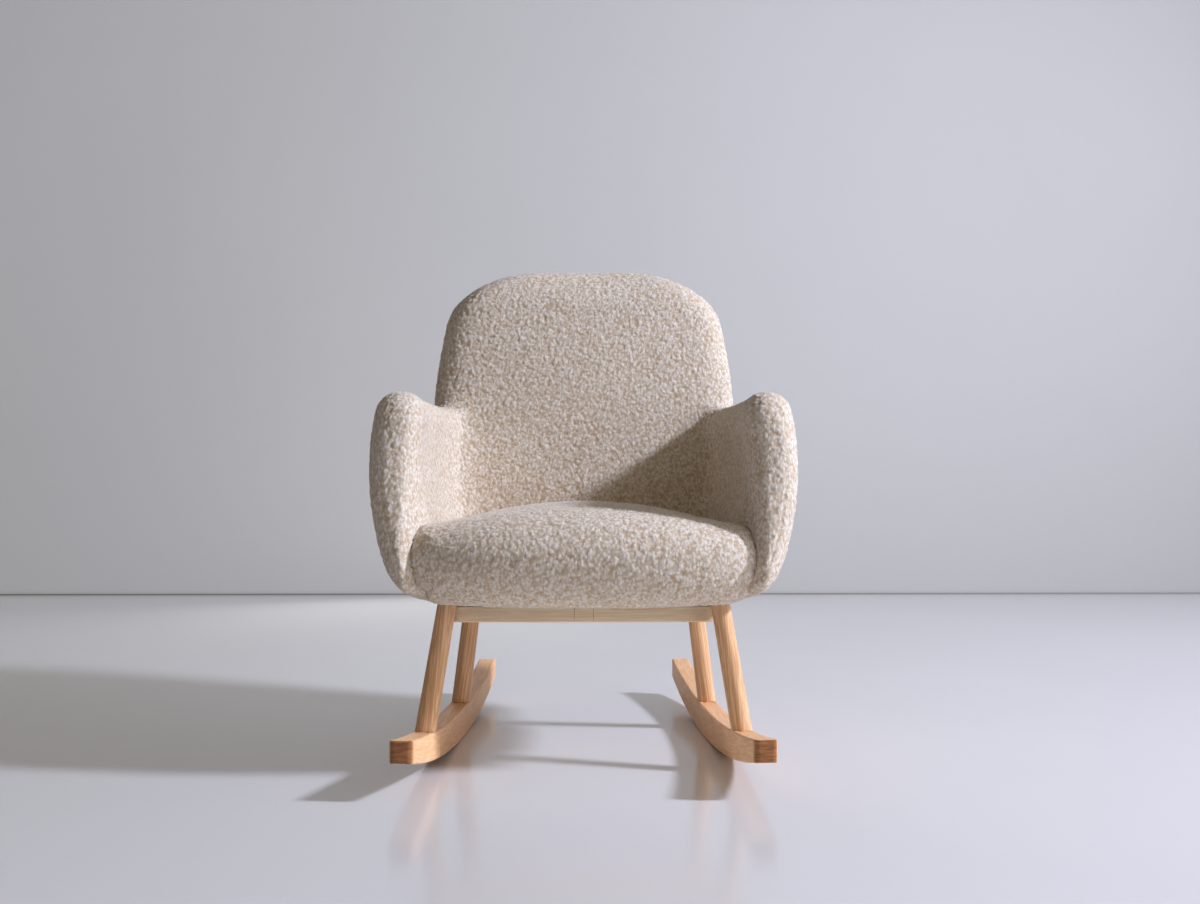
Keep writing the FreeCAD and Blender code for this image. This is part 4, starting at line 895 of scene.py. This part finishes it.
def round_ends(work, along, across, middle):
    """Cuts a rocker's ends into narrow strips, and draws these in to round corners between the sides."""
    turns = [math.pi / 2 * step / ROCKER_END_STEPS for step in range(1, ROCKER_END_STEPS + 1)]
    for end, turn in itertools.product((-1.0, 1.0), turns):
        place = ROCKER_HALF_LENGTH - ROCKER_END_ROUNDING * (1.0 - math.cos(turn))
        parts = work.verts[:] + work.edges[:] + work.faces[:]
        bmesh.ops.bisect_plane(work, geom=parts, dist=SAME_POINT,
                               plane_co=middle + along * end * place, plane_no=along)
    near_end = ROCKER_HALF_LENGTH - ROCKER_END_REACH
    for edge, turn in itertools.product((-1.0, 1.0), turns):
        place = ROCKER_HALF_WIDTH - ROCKER_END_ROUNDING * (1.0 - math.cos(turn))
        ends = [face for face in work.faces
                if abs((face.calc_center_median() - middle).dot(along)) > near_end]
        touched = {part for face in ends for part in (*face.verts, *face.edges)}
        bmesh.ops.bisect_plane(work, geom=[*touched, *ends], dist=SAME_POINT,
                               plane_co=middle + across * edge * place, plane_no=across)
    for vertex in work.verts:
        offset = vertex.co - middle
        far, wide = offset.dot(along), offset.dot(across)
        past = abs(far) - (ROCKER_HALF_LENGTH - ROCKER_END_ROUNDING)
        out = abs(wide) - (ROCKER_HALF_WIDTH - ROCKER_END_ROUNDING)
        reach = math.hypot(past, out)
        if past > 0.0 and out > 0.0 and reach > ROCKER_END_ROUNDING:
            pull = 1.0 - ROCKER_END_ROUNDING / reach
            vertex.co -= along * math.copysign(past * pull, far) + across * math.copysign(out * pull, wide)


def build_rocker(node, side, finish):
    """Stands for a rocker, with its ends rounded off between the two sides."""
    along = Vector((-side * math.sin(ROCKER_TOE_IN), math.cos(ROCKER_TOE_IN), 0.0))
    across = Vector((along.y, -along.x, 0.0))
    work = bmesh.new()
    work.from_mesh(NODES[node].data)
    bmesh.ops.remove_doubles(work, verts=work.verts, dist=SAME_POINT)
    round_ends(work, along, across, Vector((side * ROCKER_MIDDLE, 0.0, 0.0)))
    mesh = bpy.data.meshes.new(node + "_rounded")
    work.to_mesh(mesh)
    work.free()
    smooth_shaded(mesh)
    mesh.set_sharp_from_angle(angle=ROCKER_SHARP_ANGLE)
    mesh.materials.append(finish)
    piece = bpy.data.objects.new(node + "_rounded", mesh)
    SCENE.collection.objects.link(piece)
    piece.modifiers.new("even_normals", "WEIGHTED_NORMAL").keep_sharp = True
    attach(piece, "root")
    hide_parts(node)


def give(finish, *names):
    for name in names:
        mesh = NODES[name].data
        mesh.materials.clear()
        mesh.materials.append(finish)


def build_frame():
    bent = wood_finish("beech_rockers", ROCKER_GRAIN, *ROCKER_WOOD, 0.42, 0.6, ROCKER_BOW)
    give(bent, "rocker_left", "rocker_right")
    build_rocker("rocker_left", -1.0, bent)
    build_rocker("rocker_right", 1.0, bent)
    for leg, (top, foot) in LEG_ENDS.items():
        give(wood_finish("beech_" + leg, Vector(top) - Vector(foot), *LEG_WOOD, 0.42, 1.25), leg)
    give(wood_finish("beech_plugs", ALONG_Z, *PLUG_WOOD, 0.5), "rocker_plugs")
    give(wood_finish("pale_base", ALONG_X, *BASE_WOOD, 0.62), "base_board_left", "base_board_right")
    give(wood_finish("pale_key", ALONG_X, *BASE_WOOD, 0.62), "base_key")
    give(wood_finish("sawn_lengthwise", ALONG_Y, *SAWN_WOOD, 0.75),
         "side_rail_left", "side_rail_right", "base_battens")
    give(wood_finish("sawn_crosswise", ALONG_X, *SAWN_WOOD, 0.75),
         "front_rail", "rear_rail", "frame_dowels", "corner_blocks")
    give(wood_finish("plywood", ALONG_Z, *SAWN_WOOD, 0.7), *SHELL_CORE)
    give(steel_finish("zinc_steel", ZINC, 0.38), "rocker_screws", "leg_plates", "leg_hanger_bolts",
         "leg_plate_screws", "corner_block_screws", "shell_bolts", "shell_washers", "spring_clips",
         "dust_cover_staples", "base_screws")
    give(steel_finish("spring_steel", SPRING_STEEL, 0.42), "seat_springs")
    give(cloth_finish("felt", *FELT, FELT_THREADS), "spring_felt")
    give(cloth_finish("dust_fabric", *DUST_CLOTH, DUST_THREADS), "dust_cover")


build_camera()
build_room()
build_surround()
build_lights()
build_ambient()
build_frame()
boucle = boucle_finish()
press_in(build_shell(boucle), build_seat(boucle))
